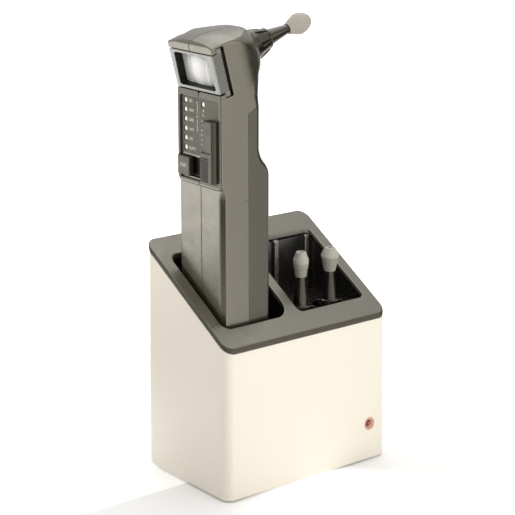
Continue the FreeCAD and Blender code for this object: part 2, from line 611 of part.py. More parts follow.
total = 0
for name, s in written:
    b = s.BoundBox
    ok = all(x.isValid() and x.isClosed() for x in s.Solids)
    print("%-18s solids %d ok %s  x %.1f..%.1f  y %.1f..%.1f  z %.1f..%.1f  vol %.1f" % (
        name, len(s.Solids), ok, b.XMin, b.XMax, b.YMin, b.YMax, b.ZMin, b.ZMax, s.Volume))
print(len(written), "nodes")
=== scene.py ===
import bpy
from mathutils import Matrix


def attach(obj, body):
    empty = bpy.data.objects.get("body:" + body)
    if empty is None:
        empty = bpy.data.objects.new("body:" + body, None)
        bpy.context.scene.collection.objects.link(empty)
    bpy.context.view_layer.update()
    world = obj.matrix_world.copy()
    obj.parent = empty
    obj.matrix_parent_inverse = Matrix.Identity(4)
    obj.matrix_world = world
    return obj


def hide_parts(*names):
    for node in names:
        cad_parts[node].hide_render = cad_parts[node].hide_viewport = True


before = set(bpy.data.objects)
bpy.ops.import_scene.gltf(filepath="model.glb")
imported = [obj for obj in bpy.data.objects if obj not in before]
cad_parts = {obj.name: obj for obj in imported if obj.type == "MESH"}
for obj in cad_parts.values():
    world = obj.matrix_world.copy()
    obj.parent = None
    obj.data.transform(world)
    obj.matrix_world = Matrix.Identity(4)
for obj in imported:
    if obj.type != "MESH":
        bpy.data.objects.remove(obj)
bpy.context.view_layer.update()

import math

import bmesh
import bpy
import numpy as np
from mathutils import Matrix, Vector

# ----------------------------------------------------------------------------
# Everything below is worked out in millimetres, with z counted from the lower
# edge of the stand's shell; meshes are lifted by FOOT and written in metres.
# ----------------------------------------------------------------------------
FOOT = 1.0
W, D, HF, HB = 110.0, 71.66, 80.72, 124.04
SL = (HB - HF) / D
BETA = math.atan(SL)
SLOT = (-47.7, -3.5, -24.6, 24.2)
POCKET = (2.8, 48.5, -24.4, 23.4)
Y0, Y1, YS, YC = -22.0, 15.5, -3.0, -3.25
OX, OZ, TILT = -50.1, 222.3, math.radians(15.0)
CT, ST = math.cos(TILT), math.sin(TILT)
NOSE_S = 33.0
TIP_S = 38.7
LED_Z = [205.8 - 4.96 * i for i in range(6)]
LED_Y, READY = 9.6, (-6.4, 205.5)
mx, mn, hyp = np.maximum, np.minimum, np.hypot


# ======================================================== surface tools
def smooth(t):
    t = np.clip(t, 0.0, 1.0)
    return t * t * (3 - 2 * t)


def curve(*keys):
    """Smooth monotone function through (a, value) keys, straight outside them."""
    a = np.array([k[0] for k in keys], float)
    v = np.array([k[1] for k in keys], float)
    h, d = np.diff(a), np.diff(v) / np.diff(a)
    m = np.zeros_like(v)
    p = d[1:] * d[:-1]
    s = d[1:] + d[:-1]
    m[1:-1] = np.where(p > 0, 2 * p / np.where(s == 0, 1, s), 0)
    m[0], m[-1] = d[0], d[-1]

    def f(t):
        t = np.asarray(t, float)
        i = np.clip(np.searchsorted(a, t) - 1, 0, len(h) - 1)
        q = (t - a[i]) / h[i]
        c = np.clip(q, 0, 1)
        r = ((1 + 2 * c) * (1 - c) ** 2 * v[i] + c * (1 - c) ** 2 * h[i] * m[i]
             + c * c * (3 - 2 * c) * v[i + 1] + c * c * (c - 1) * h[i] * m[i + 1])
        return r + (q - c) * h[i] * np.where(q < 0, m[0], m[-1])

    return f


def rint(a, b, r):
    """Both: intersection with an edge of radius r."""
    return mn(mx(a, b), -r) + hyp(mx(a + r, 0), mx(b + r, 0))


def runi(a, b, r):
    return -rint(-a, -b, r)


def rsub(a, b, r):
    return rint(a, -b, r)


def slab(a, a0, a1):
    return abs(a - (a0 + a1) / 2) - (a1 - a0) / 2


def rect(a, b, a0, a1, b0, b1, r=0.0):
    """Rounded rectangle; r is one radius or four, one per corner."""
    ca, cb = (a0 + a1) / 2, (b0 + b1) / 2
    if isinstance(r, tuple):
        r = np.where(a < ca, np.where(b < cb, r[0], r[3]), np.where(b < cb, r[1], r[2]))
    qa, qb = abs(a - ca) - (a1 - a0) / 2 + r, abs(b - cb) - (b1 - b0) / 2 + r
    return mn(mx(qa, qb), 0) + hyp(mx(qa, 0), mx(qb, 0)) - r


def block(x, y, z, x0, x1, y0, y1, z0, z1, r=0.0):
    qx, qy, qz = (abs(t - (lo + hi) / 2) - (hi - lo) / 2 + r
                  for t, lo, hi in ((x, x0, x1), (y, y0, y1), (z, z0, z1)))
    return (mn(mx(mx(qx, qy), qz), 0)
            + np.sqrt(mx(qx, 0) ** 2 + mx(qy, 0) ** 2 + mx(qz, 0) ** 2) - r)


def lines(lo, hi, step, *fine):
    """Grid lines from lo to hi, closer together where (a, b, step) says so."""
    t = [lo + 0.00731]
    while t[-1] < hi:
        p, s = t[-1], step
        for a, b, f in fine:
            if a <= p < b:
                s = min(s, f)
        for a, b, f in fine:
            if p < a < p + s:
                s = max(a - p, f * 0.6)
        t.append(p + s)
    return np.array(t)


def contour(f, xs, ys, zs):
    """Quads on f = 0 over a grid, one vertex a cell, placed on edges and corners."""
    nx, ny, nz = len(xs), len(ys), len(zs)
    ax = [xs, ys, zs]
    F = np.broadcast_to(np.asarray(f(xs[:, None, None], ys[None, :, None], zs[None, None, :]),
                                   float), (nx, ny, nz))
    S = F < 0
    cy, cz = ny - 1, nz - 1
    P, N, C, flip = [], [], [], []
    for d in range(3):
        lo = [slice(None)] * 3
        hi = [slice(None)] * 3
        lo[d], hi[d] = slice(0, -1), slice(1, None)
        idx = np.nonzero(S[tuple(lo)] != S[tuple(hi)])
        ok = np.ones(len(idx[0]), bool)
        for e in range(3):
            if e != d:
                ok &= (idx[e] > 0) & (idx[e] < (nx, ny, nz)[e] - 1)
        idx = tuple(i[ok] for i in idx)
        if not len(idx[0]):
            continue
        up = list(idx)
        up[d] = idx[d] + 1
        p0 = [ax[e][idx[e]] for e in range(3)]
        p1 = ax[d][up[d]]
        f0, f1 = F[idx], F[tuple(up)]
        flip.append(~S[idx])
        a, b, fa, fb = np.zeros(len(f0)), np.ones(len(f0)), f0.copy(), f1.copy()
        t = fa / (fa - fb)
        for it in range(7):
            if it % 2:
                t = (a + b) / 2
            else:
                t = a + (b - a) * np.clip(fa / (fa - fb + 1e-30), 0.02, 0.98)
            q = list(p0)
            q[d] = p0[d] + t * (p1 - p0[d])
            ft = f(*q)
            same = (ft < 0) == (fa < 0)
            a, fa = np.where(same, t, a), np.where(same, ft, fa)
            b, fb = np.where(same, b, t), np.where(same, fb, ft)
        t = a + (b - a) * np.clip(fa / (fa - fb + 1e-30), 0, 1)
        q = list(p0)
        q[d] = p0[d] + t * (p1 - p0[d])
        e = 0.006
        g = []
        for k in range(3):
            qa, qb = list(q), list(q)
            qa[k], qb[k] = q[k] + e, q[k] - e
            g.append(f(*qa) - f(*qb))
        g = np.stack(g, 1)
        g /= np.linalg.norm(g, axis=1)[:, None] + 1e-12
        P.append(np.stack(q, 1))
        N.append(g)
        d1, d2 = (d + 1) % 3, (d + 2) % 3
        ring = []
        for o1, o2 in ((-1, -1), (0, -1), (0, 0), (-1, 0)):
            c = [idx[0], idx[1], idx[2]]
            c[d1] = c[d1] + o1
            c[d2] = c[d2] + o2
            ring.append((c[0] * cy + c[1]) * cz + c[2])
        C.append(np.stack(ring, 1))
    P, N, C, flip = (np.concatenate(t) for t in (P, N, C, flip))
    cells, inv = np.unique(C.ravel(), return_inverse=True)
    inv = inv.ravel()
    n = len(cells)
    rep = np.repeat(np.arange(len(P)), 4)
    p, g = P[rep], N[rep]
    cnt = np.bincount(inv, minlength=n).astype(float)
    m = np.stack([np.bincount(inv, p[:, k], n) for k in range(3)], 1) / cnt[:, None]
    A = np.zeros((n, 3, 3))
    for i in range(3):
        for j in range(i, 3):
            A[:, i, j] = A[:, j, i] = np.bincount(inv, g[:, i] * g[:, j], n)
    dot = (g * p).sum(1)
    B = np.stack([np.bincount(inv, g[:, k] * dot, n) for k in range(3)], 1)
    B -= np.einsum("nij,nj->ni", A, m)
    A += np.eye(3)[None] * (0.015 * cnt)[:, None, None]
    V = m + np.linalg.solve(A, B[:, :, None])[:, :, 0]
    i, j, k = cells // (cy * cz), (cells // cz) % cy, cells % cz
    low = np.stack([xs[i], ys[j], zs[k]], 1)
    top = np.stack([xs[i + 1], ys[j + 1], zs[k + 1]], 1)
    V = np.clip(V, low, top)
    Q = inv.reshape(-1, 4)
    Q = np.where(flip[:, None], Q[:, ::-1], Q)
    return V, Q


def mesh_piece(name, V, Q, angle=50.0, weighted=True):
    """Object from vertices in millimetres and faces of equal size."""
    me = bpy.data.meshes.new(name)
    V = np.array(V, float)
    V[:, 2] += FOOT
    me.vertices.add(len(V))
    me.vertices.foreach_set("co", (V * 0.001).astype(np.float32).ravel())
    Q = np.asarray(Q, np.int32)
    me.loops.add(Q.size)
    me.loops.foreach_set("vertex_index", Q.ravel())
    me.polygons.add(len(Q))
    me.polygons.foreach_set("loop_start", np.arange(0, Q.size, Q.shape[1], dtype=np.int32))
    me.update(calc_edges=True)
    me.validate()
    me.polygons.foreach_set("use_smooth", np.ones(len(me.polygons), bool))
    me.set_sharp_from_angle(angle=math.radians(angle))
    o = bpy.data.objects.new(name, me)
    bpy.context.scene.collection.objects.link(o)
    if weighted:
        w = o.modifiers.new("normals", "WEIGHTED_NORMAL")
        w.keep_sharp = True
        w.weight = 50
    return o


def join_parts(name, parts, **kw):
    """One piece from several (V, Q) lists."""
    Vs, Qs, n = [], [], 0
    for V, Q in parts:
        Vs.append(np.asarray(V, float))
        Qs.append(np.asarray(Q) + n)
        n += len(V)
    return mesh_piece(name, np.concatenate(Vs), np.concatenate(Qs), **kw)


def tri(Q):
    Q = np.asarray(Q)
    return np.concatenate([Q[:, [0, 1, 2]], Q[:, [0, 2, 3]]])


def lathe(profile, n=64, radius_at=None):
    """Closed profile of (height, radius) turned about +Z; quads."""
    pts = np.array(profile, float)
    m = len(pts)
    a = np.arange(n) * 2 * math.pi / n
    V = np.zeros((m, n, 3))
    r = pts[:, 1][:, None] * np.ones(n)[None]
    if radius_at is not None:
        r = radius_at(pts[:, 0][:, None], a[None], r)
    V[:, :, 0] = r * np.cos(a)
    V[:, :, 1] = r * np.sin(a)
    V[:, :, 2] = pts[:, 0][:, None]
    Q = []
    for i in range(m):
        j = (i + 1) % m
        for k in range(n):
            l = (k + 1) % n
            Q.append((i * n + k, i * n + l, j * n + l, j * n + k))
    return V.reshape(-1, 3), np.array(Q)


def soften(profile, r=0.25, steps=3):
    """Rounds the corners of a closed profile with small arcs."""
    out = []
    n = len(profile)
    for i in range(n):
        a, p, b = (np.array(profile[k % n], float) for k in (i - 1, i, i + 1))
        u, v = a - p, b - p
        lu, lv = np.linalg.norm(u), np.linalg.norm(v)
        if lu < 1e-6 or lv < 1e-6 or p[1] < 1e-6:
            out.append(tuple(p))
            continue
        t = min(r, lu * 0.4, lv * 0.4)
        q0, q1 = p + u / lu * t, p + v / lv * t
        for s in range(steps + 1):
            w = s / steps
            out.append(tuple(q0 * (1 - w) ** 2 + p * 2 * w * (1 - w) + q1 * w * w))
    return out


def place(V, origin, z_dir, x_dir=(0, 1, 0)):
    """Local +Z turned to z_dir, moved to origin."""
    z = np.array(z_dir, float)
    z /= np.linalg.norm(z)
    x = np.array(x_dir, float)
    x -= z * (x @ z)
    x /= np.linalg.norm(x)
    y = np.cross(z, x)
    return np.asarray(V) @ np.stack([x, y, z]) + np.array(origin, float)


AXIS = (CT, 0.0, ST)


def on_axis(V, along=0.0):
    return place(V, (OX + CT * along, YC, OZ + ST * along), AXIS)


def head_uv(x, z):
    return (x - OX) * CT + (z - OZ) * ST, -(x - OX) * ST + (z - OZ) * CT


# ======================================================== materials
def material(name, color, rough=0.45, spec=0.5, grain=0.05, grain_mm=0.35, tint=0.05, tint_mm=18.0,
             rough_var=0.06, metallic=0.0, ior=1.5, coat=0.0, coat_rough=0.1, trans=0.0, sss=0.0,
             wear=0.0, stretch=None, emit=0.0, spec_tint=None):
    """Moulded or metal finish: fine grain, slow colour and gloss variation, edge wear."""
    m = bpy.data.materials.new(name)
    m.use_nodes = True
    t = m.node_tree
    b = t.nodes["Principled BSDF"]
    new, link = t.nodes.new, t.links.new
    tc = new("ShaderNodeTexCoord")
    src = tc.outputs["Object"]
    if stretch:
        mp = new("ShaderNodeMapping")
        mp.inputs["Scale"].default_value = stretch
        link(src, mp.inputs["Vector"])
        src = mp.outputs["Vector"]

    def noise(mm, detail=2.0, w=0.0):
        n = new("ShaderNodeTexNoise")
        n.inputs["Scale"].default_value = 1000.0 / mm
        n.inputs["Detail"].default_value = detail
        n.inputs["Distortion"].default_value = w
        link(src, n.inputs["Vector"])
        return n.outputs["Fac"]

    def ramp(fac, lo, hi):
        r = new("ShaderNodeMapRange")
        r.inputs["From Min"].default_value = 0.3
        r.inputs["From Max"].default_value = 0.7
        r.inputs["To Min"].default_value = lo
        r.inputs["To Max"].default_value = hi
        link(fac, r.inputs["Value"])
        return r.outputs["Result"]

    mixn = new("ShaderNodeMix")
    mixn.data_type = "RGBA"
    c = color
    mixn.inputs["A"].default_value = (c[0] * (1 - tint), c[1] * (1 - tint), c[2] * (1 - tint * 1.3), 1)
    mixn.inputs["B"].default_value = (c[0] * (1 + tint), c[1] * (1 + tint), c[2] * (1 + tint * 0.8), 1)
    n1, n2 = noise(tint_mm, 3.0), noise(grain_mm * 3.1, 4.0)
    add = new("ShaderNodeMath")
    add.operation = "MULTIPLY_ADD"
    add.inputs[1].default_value = 0.35
    link(n2, add.inputs[0])
    sc = new("ShaderNodeMath")
    sc.operation = "MULTIPLY"
    sc.inputs[1].default_value = 0.65
    link(n1, sc.inputs[0])
    link(sc.outputs[0], add.inputs[2])
    link(ramp(add.outputs[0], 0.0, 1.0), mixn.inputs["Factor"])
    col = mixn.outputs["Result"]
    if wear:
        geo = new("ShaderNodeNewGeometry")
        w = new("ShaderNodeMapRange")
        w.inputs["From Min"].default_value = 0.53
        w.inputs["From Max"].default_value = 0.62
        w.inputs["To Max"].default_value = wear
        link(geo.outputs["Pointiness"], w.inputs["Value"])
        mu = new("ShaderNodeMix")
        mu.data_type = "RGBA"
        mu.inputs["B"].default_value = tuple(min(1.0, v * 1.8 + 0.06) for v in c[:3]) + (1,)
        link(w.outputs["Result"], mu.inputs["Factor"])
        link(col, mu.inputs["A"])
        col = mu.outputs["Result"]
    link(col, b.inputs["Base Color"])
    link(ramp(noise(tint_mm * 0.45, 3.0), rough - rough_var, rough + rough_var), b.inputs["Roughness"])
    if grain:
        bp = new("ShaderNodeBump")
        bp.inputs["Strength"].default_value = min(1.0, grain * 4)
        bp.inputs["Distance"].default_value = 0.00004 * grain_mm / 0.35
        link(noise(grain_mm, 3.0), bp.inputs["Height"])
        link(bp.outputs["Normal"], b.inputs["Normal"])
    b.inputs["Metallic"].default_value = metallic
    b.inputs["IOR"].default_value = ior
    b.inputs["Specular IOR Level"].default_value = spec
    if spec_tint:
        b.inputs["Specular Tint"].default_value = tuple(spec_tint) + (1,)
    b.inputs["Coat Weight"].default_value = coat
    b.inputs["Coat Roughness"].default_value = coat_rough
    b.inputs["Transmission Weight"].default_value = trans
    b.inputs["Subsurface Weight"].default_value = sss
    if sss:
        b.inputs["Subsurface Radius"].default_value = (0.0016, 0.0011, 0.0007)
        b.inputs["Subsurface Scale"].default_value = 1.0
    if emit:
        b.inputs["Emission Color"].default_value = tuple(c[:3]) + (1,)
        b.inputs["Emission Strength"].default_value = emit
    return m


CREAM = (0.80, 0.745, 0.645)
DARK = (0.023, 0.0205, 0.0145)
WARM = (1.0, 0.945, 0.79)
M = {
    "cream_abs": material("cream_abs", CREAM, 0.45, 0.45, 0.03, 0.5, 0.012, 40, 0.05),
    "housing_plastic": material("housing_plastic", DARK, 0.29, 1.0, 0.006, 0.5, 0.05, 16, 0.04, ior=1.75, wear=0.10,
                                spec_tint=WARM),
    "cover_plastic": material("cover_plastic", DARK, 0.33, 1.0, 0.006, 0.5, 0.05, 16, 0.04, ior=1.51, wear=0.08,
                              spec_tint=WARM),
    "deck_plastic": material("deck_plastic", (0.050, 0.047, 0.040), 0.34, 1.0, 0.012, 0.5, 0.10, 14, 0.07, ior=1.74,
                             wear=0.3, spec_tint=(1.0, 0.95, 0.80)),
    "deck_edge": material("deck_edge", (0.040, 0.035, 0.026), 0.42, 0.6, 0.04, 0.5, 0.06, 9, 0.05, spec_tint=WARM),
    # painted shade: the handle well's liner is the deck's plastic, coloured near-black for the shade deep in the well
    "well_plastic": material("well_plastic", (0.006, 0.0055, 0.0045), 0.5, 0.25, 0.05, 0.5, 0.08, 14, 0.06),
    # painted shade: the tip pocket's liner is the deck's plastic, coloured near-black for the shade inside the pocket;
    # the rib fronts keep a colour near the plastic's own
    "tray_painted_shade": material("tray_painted_shade", (0.008, 0.0075, 0.006), 0.24, 1.0, 0.02, 0.5, 0.08, 14, 0.06),
    "tray_rib": material("tray_rib", (0.045, 0.041, 0.034), 0.30, 1.0, 0.01, 0.5, 0.08, 8, 0.06, ior=1.9, spec_tint=WARM),
    "base_plastic": material("base_plastic", (0.03, 0.028, 0.024), 0.55, 0.4, 0.08, 0.5, 0.08, 14),
    "foot_rubber": material("foot_rubber", (0.02, 0.02, 0.02), 0.8, 0.3, 0.1, 0.4, 0.1, 6),
    "screw_steel": material("screw_steel", (0.55, 0.55, 0.54), 0.32, 0.5, 0.05, 0.15, 0.08, 3, 0.08, metallic=1.0),
    "circuit_board": material("circuit_board", (0.02, 0.11, 0.05), 0.35, 0.5, 0.08, 0.6, 0.15, 5, 0.08),
    "component_black": material("component_black", (0.018, 0.018, 0.018), 0.5, 0.5, 0.08, 0.3, 0.1, 6),
    "contact_brass": material("contact_brass", (0.80, 0.58, 0.25), 0.25, 0.5, 0.04, 0.15, 0.08, 2, 0.08, metallic=1.0),
    "led_ring": material("led_ring", (0.62, 0.37, 0.27), 0.30, 0.6, 0.03, 0.2, 0.05, 3, 0.05),
    "red_led": material("red_led", (0.30, 0.035, 0.022), 0.12, 0.7, 0.02, 0.2, 0.12, 1.5, 0.04, coat=0.6),
    "dark_plastic": material("dark_plastic", (0.022, 0.020, 0.016), 0.35, 0.6, 0.04, 0.3, 0.08, 8),
    "speculum_plastic": material("speculum_plastic", (0.011, 0.008, 0.005), 0.16, 0.75, 0.01, 0.3, 0.1, 5, 0.03,
                                 spec_tint=(1.0, 0.92, 0.80)),
    "silicone": material("silicone", (0.40, 0.385, 0.33), 0.52, 0.45, 0.05, 0.3, 0.03, 4, 0.06, sss=0.25),
    "silicone_mounted": material("silicone_mounted", (0.37, 0.335, 0.29), 0.52, 0.45, 0.05, 0.3, 0.03, 4, 0.06, sss=0.25),
    # painted shade: a darker copy of the silicone for the stored tips' lower, downward-facing part, which gets less
    # light; the plain silicone above is the lit copy
    "silicone_painted_shade": material("silicone_painted_shade", (0.27, 0.26, 0.215), 0.52, 0.45, 0.05, 0.3, 0.03, 4, 0.06, sss=0.25),
    "bezel_face": material("bezel_face", (0.33, 0.33, 0.31), 0.36, 1.0, 0.02, 0.4, 0.04, 10, 0.05),
    "bezel_grey": material("bezel_grey", (0.125, 0.122, 0.105), 0.38, 0.9, 0.02, 0.4, 0.04, 10, 0.05),
    # painted shade: near-black for the shade deep in recesses, on the lens window's inner walls and in the panel's
    # wells
    "recess_painted_shade": material("recess_painted_shade", (0.006, 0.005, 0.004), 0.45, 0.3, 0.05, 0.4, 0.05, 10, 0.05),
    "control_plastic": material("control_plastic", (0.030, 0.027, 0.021), 0.40, 0.75, 0.05, 0.35, 0.07, 9, 0.05, wear=0.12,
                                spec_tint=WARM),
    "panel_label": material("panel_label", (0.034, 0.030, 0.021), 0.42, 0.62, 0.02, 0.3, 0.05, 9, 0.05,
                            spec_tint=(1.0, 0.93, 0.77)),
    "clear_led": material("clear_led", (0.86, 0.87, 0.78), 0.14, 0.6, 0.02, 0.3, 0.05, 1.5, 0.03, coat=0.5, emit=0.15),
    "panel_rim": material("panel_rim", DARK, 0.36, 0.9, 0.006, 0.5, 0.05, 12, 0.04, ior=1.5, wear=0.2, spec_tint=WARM),
    "print_white": material("print_white", (0.72, 0.68, 0.60), 0.5, 0.4, 0.02, 0.2, 0.08, 1.2, 0.05),
    "cell_sleeve": material("cell_sleeve", (0.05, 0.12, 0.28), 0.35, 0.5, 0.04, 0.5, 0.1, 9),
    "lamp_glass": material("lamp_glass", (0.95, 0.95, 0.92), 0.05, 0.5, 0.02, 0.4, 0.02, 4, 0.02, trans=0.9),
    "receiver_can": material("receiver_can", (0.66, 0.66, 0.66), 0.3, 0.5, 0.05, 0.2, 0.05, 3, 0.06, metallic=1.0),
    "tube_rubber": material("tube_rubber", (0.35, 0.35, 0.33), 0.7, 0.3, 0.06, 0.3, 0.05, 3),
}


def lens_material():
    """Magnifying lens: the pale room behind it is painted into the base colour as soft, leaning upright bands with thin
    painted highlights.
    """
    m = bpy.data.materials.new("lens_glass")
    m.use_nodes = True
    t = m.node_tree
    b = t.nodes["Principled BSDF"]
    new, link = t.nodes.new, t.links.new
    tc = new("ShaderNodeTexCoord")
    sep = new("ShaderNodeSeparateXYZ")
    link(tc.outputs["Object"], sep.inputs[0])
    lean = new("ShaderNodeMath")
    lean.operation = "MULTIPLY_ADD"
    lean.inputs[1].default_value = 0.16
    link(sep.outputs["Z"], lean.inputs[0])
    link(sep.outputs["Y"], lean.inputs[2])
    n = new("ShaderNodeTexNoise")
    n.inputs["Scale"].default_value = 160.0
    n.inputs["Detail"].default_value = 2.0
    link(tc.outputs["Object"], n.inputs["Vector"])
    wob = new("ShaderNodeMath")
    wob.operation = "MULTIPLY_ADD"
    wob.inputs[1].default_value = 0.003
    link(n.outputs["Fac"], wob.inputs[0])
    link(lean.outputs[0], wob.inputs[2])
    r = new("ShaderNodeMapRange")
    mid = 0.16 * (OZ + FOOT) * 0.001 + 0.0015
    r.inputs["From Min"].default_value = mid - 0.020
    r.inputs["From Max"].default_value = mid + 0.013
    link(wob.outputs[0], r.inputs["Value"])
    cr = new("ShaderNodeValToRGB")
    e = cr.color_ramp.elements
    # painted light: bright and dark bands and thin highlights of the room behind the lens, set in the base colour
    keys = ((0.0, 0.60), (0.13, 0.66), (0.17, 0.92), (0.20, 0.70), (0.27, 0.70), (0.30, 0.94), (0.34, 0.72),
            (0.42, 0.80), (0.50, 0.90), (0.66, 0.88), (0.70, 0.74), (0.80, 0.82), (0.86, 0.70), (1.0, 0.64))
    while len(e) < len(keys):
        e.new(0.5)
    for q, (pos, val) in zip(e, keys):
        q.position, q.color = pos, (val, val * 0.995, val * 0.985, 1)
    link(r.outputs["Result"], cr.inputs["Fac"])
    link(cr.outputs["Color"], b.inputs["Base Color"])
    b.inputs["Roughness"].default_value = 0.34
    b.inputs["IOR"].default_value = 1.5
    b.inputs["Specular IOR Level"].default_value = 0.07
    b.inputs["Transmission Weight"].default_value = 0.05
    return m


M["lens_glass"] = lens_material()


def dress(o, body, slot, mat=None, *nodes):
    """Material, body and replaced nodes of a piece; the slot argument is not used."""
    if mat:
        o.data.materials.clear()
        for k in (mat if isinstance(mat, (list, tuple)) else [mat]):
            o.data.materials.append(M[k])
    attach(o, body)
    if nodes:
        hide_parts(*nodes)
    return o


def second_material(o, faces):
    """The chosen faces take the piece's second material."""
    if len(o.data.polygons) == len(faces):
        o.data.polygons.foreach_set("material_index", np.asarray(faces).astype(np.int32))
    else:
        print("faces don't match on", o.name)


# ======================================================== stand
def plane_z(y):
    return HF + SL * (y + D / 2)


CB, SB = math.cos(BETA), math.sin(BETA)
Z_MID = plane_z(0.0)


def above(y, z):
    """Distance above the shell's slanted top plane."""
    return (z - plane_z(y)) * CB


def shell_sdf(x, y, z):
    hw = W / 2 + 0.95 * (1 - z / ((HF + HB) / 2))
    yf = -(D / 2 + 0.95 * (1 - z / HF))
    yb = D / 2 + 0.95 * (1 - z / HB)
    cy, hy = (yf + yb) / 2, (yb - yf) / 2
    qa, qb = abs(x) - hw + 5.4, abs(y - cy) - hy + 5.4
    o = mn(mx(qa, qb), 0) + hyp(mx(qa, 0), mx(qb, 0)) - 5.4
    d = rint(o, -z, 0.5)
    d = mx(d, above(y, z))
    d = mx(d, -(o + 2.5))
    led = hyp(x - 43.4, z - 20.5)
    front = y + 25.0
    d = mx(d, -mx(rint(led - 3.65, -(z * 0 + 1e3), 0.0), front))
    jack = hyp(x - 34.5, z - 17.0)
    d = rsub(d, mx(jack - 4.25, -(y - 20.0)), 0.3)
    return d + 0.01


xs = lines(-57, 57, 5.0, (-57, -48, 0.6), (48, 57, 0.6), (38, 48.5, 0.45), (29.5, 39.5, 0.6))
ys = lines(-38.5, 38.5, 4.0, (-38.5, -29, 0.6), (29, 38.5, 0.6))
zs = lines(-0.6, 126, 5.0, (-0.6, 1.4, 0.25), (12, 22, 0.6), (16, 25.2, 0.45), (79.5, 81.5, 0.6), (122, 126, 0.6))
o = mesh_piece("stand_shell_skin", *contour(shell_sdf, xs, ys, zs))
dress(o, "stand", "cream_abs", "cream_abs", "stand_shell")


def deck_sdf(x, v, w):
    y, z = v * CB - w * SB, Z_MID + v * SB + w * CB
    T = 2.87 * CB
    o = rect(x, y, -55.37, 55.37, -36.2, 36.2, 6.0)
    d = rint(o, w - T, 0.9)
    d = rint(d, -w, 0.2)
    d = rsub(d, hyp(o, w - 1.55) - 0.26, 0.05)
    d = rsub(d, rect(x, y, *SLOT, (5, 9, 9, 5)), 0.55)
    d = rsub(d, rect(x, y, *POCKET, 3.0), 0.55)
    return d


xs = lines(-56.5, 56.5, 2.5, (-56.5, -49, 0.5), (49, 56.5, 0.5), (-49, -41, 0.5), (-14, -2, 0.5), (1.5, 7, 0.5),
           (43.5, 49.5, 0.5))
vs = lines(-45, 45, 2.5, (-45, -33, 0.5), (33, 45, 0.5), (-33, -19, 0.5), (15.5, 30.5, 0.5))
ws = lines(-0.7, 3.2, 0.22)
V, Q = contour(deck_sdf, xs, vs, ws)
cen = V[Q].mean(1)
rim = rect(cen[:, 0], cen[:, 1] * CB - cen[:, 2] * SB, -55.37, 55.37, -36.2, 36.2, 6.0) > -0.45
V = np.stack([V[:, 0], V[:, 1] * CB - V[:, 2] * SB, Z_MID + V[:, 1] * SB + V[:, 2] * CB], 1)
o = mesh_piece("deck_plate", V, Q)
dress(o, "stand", "deck_plastic", ["deck_plastic", "deck_edge"], "deck_bezel")
second_material(o, rim)


def well_sdf(x, y, z):
    x0, x1, y0, y1 = SLOT
    o = rect(x, y, x0 - 1.8, x1 + 1.8, y0 - 1.8, y1 + 1.8, (6, 10, 10, 6))
    i = rect(x, y, x0, x1, y0, y1, (5, 9, 9, 5))
    d = mx(mx(o, 43.7 - z), -mx(i, 45.7 - z))
    for a in (-12.0, 5.0):
        d = mn(d, block(x, y, z, -13.85, -2.7, a - 1, a + 1, 44.7, 80, 0.4))
        d = mn(d, block(x, y, z, -48.5, -46.4, a - 1, a + 1, 44.7, 76, 0.3))
    for a in (-40.0, -22.0):
        d = mn(d, block(x, y, z, a - 1, a + 1, 15.8, 25.0, 44.7, 78, 0.4))
        d = mn(d, block(x, y, z, a - 1, a + 1, -25.4, -22.3, 44.7, 76, 0.3))
    for py in (-10.0, 3.0):
        d = mx(d, -mx(hyp(x + 31.0, y - py) - 1.3, z - 50))
    return mx(d, above(y, z) + 0.02)


xs = lines(-50.5, -0.8, 1.0, (-50.5, -45.5, 0.5), (-43, -39, 0.5), (-35, -27, 0.55), (-25, -20.4, 0.5), (-14, -0.8, 0.6))
ys = lines(-27.5, 27, 1.0, (-27.5, -21.6, 0.5), (-14, -8, 0.5), (1.0, 7.4, 0.5), (14, 27, 0.6))
zs = lines(42.9, 119.5, 4.0, (42.9, 46.8, 0.5), (74, 81, 0.7))
o = mesh_piece("handle_well_liner", *contour(well_sdf, xs, ys, zs))
# the well liner takes near-black painted shade in place of the deck plastic's colour
dress(o, "stand", "deck_plastic", "well_plastic", "handle_well")


def tray_sdf(x, y, z):
    x0, x1, y0, y1 = POCKET
    o = rect(x, y, x0 - 1.6, x1 + 1.6, y0 - 1.6, y1 + 1.6, 4.0)
    i = rect(x, y, x0, x1, y0, y1, 3.0)
    d = mx(mx(o, 85.0 - z), -runi(mx(i, 87.0 - z), mx(i, 87.0 - z), 0))
    for cx in (12.0, 32.5):
        c = hyp(x - cx, y + 14.0)
        d = mn(d, mx(mx(c - 10.4, 74.8 - z), z - 87.0))
    for a0, a1 in ((22.6, 25.6), (44.7, 47.3)):
        d = runi(d, rint(rect(x, y, a0, a1, y1 - 2.0, y1 + 1.2, 0.45), 86.0 - z, 0.0), 0.3)
    rib = mx(slab(x, 22.0, 48.0), slab(y, 21.0, y1))
    d = mx(d, mn(mx(above(y, z), rib), above(y, z) + 0.9 * CB))
    for cx in (12.0, 32.5):
        c = hyp(x - cx, y + 14.0)
        d = rsub(d, mx(c - 9.3, 76.3 - z), 0.35)
        d = mn(d, mx(rint(c - 1.6, z - 90.8, 0.5), 75.8 - z))
        d = mn(d, mx(rint(c - 2.6, z - 82.8, 0.4), 75.8 - z))
    return mx(d, above(y, z) + 0.02)


xs = lines(0.4, 51, 0.9, (0.4, 7, 0.45), (21.5, 26.6, 0.4), (43.5, 51, 0.4), (9, 15.2, 0.45), (29.4, 35.6, 0.45))
ys = lines(-26.9, 26, 1.0, (-26.9, -20, 0.5), (-17.2, -10.8, 0.45), (19.5, 26, 0.4), (-6, -3, 0.5))
zs = lines(74.0, 119.5, 2.0, (74.0, 78, 0.5), (82, 88.2, 0.35), (90, 92, 0.4))
V, Q = contour(tray_sdf, xs, ys, zs)
cen = V[Q].mean(1)
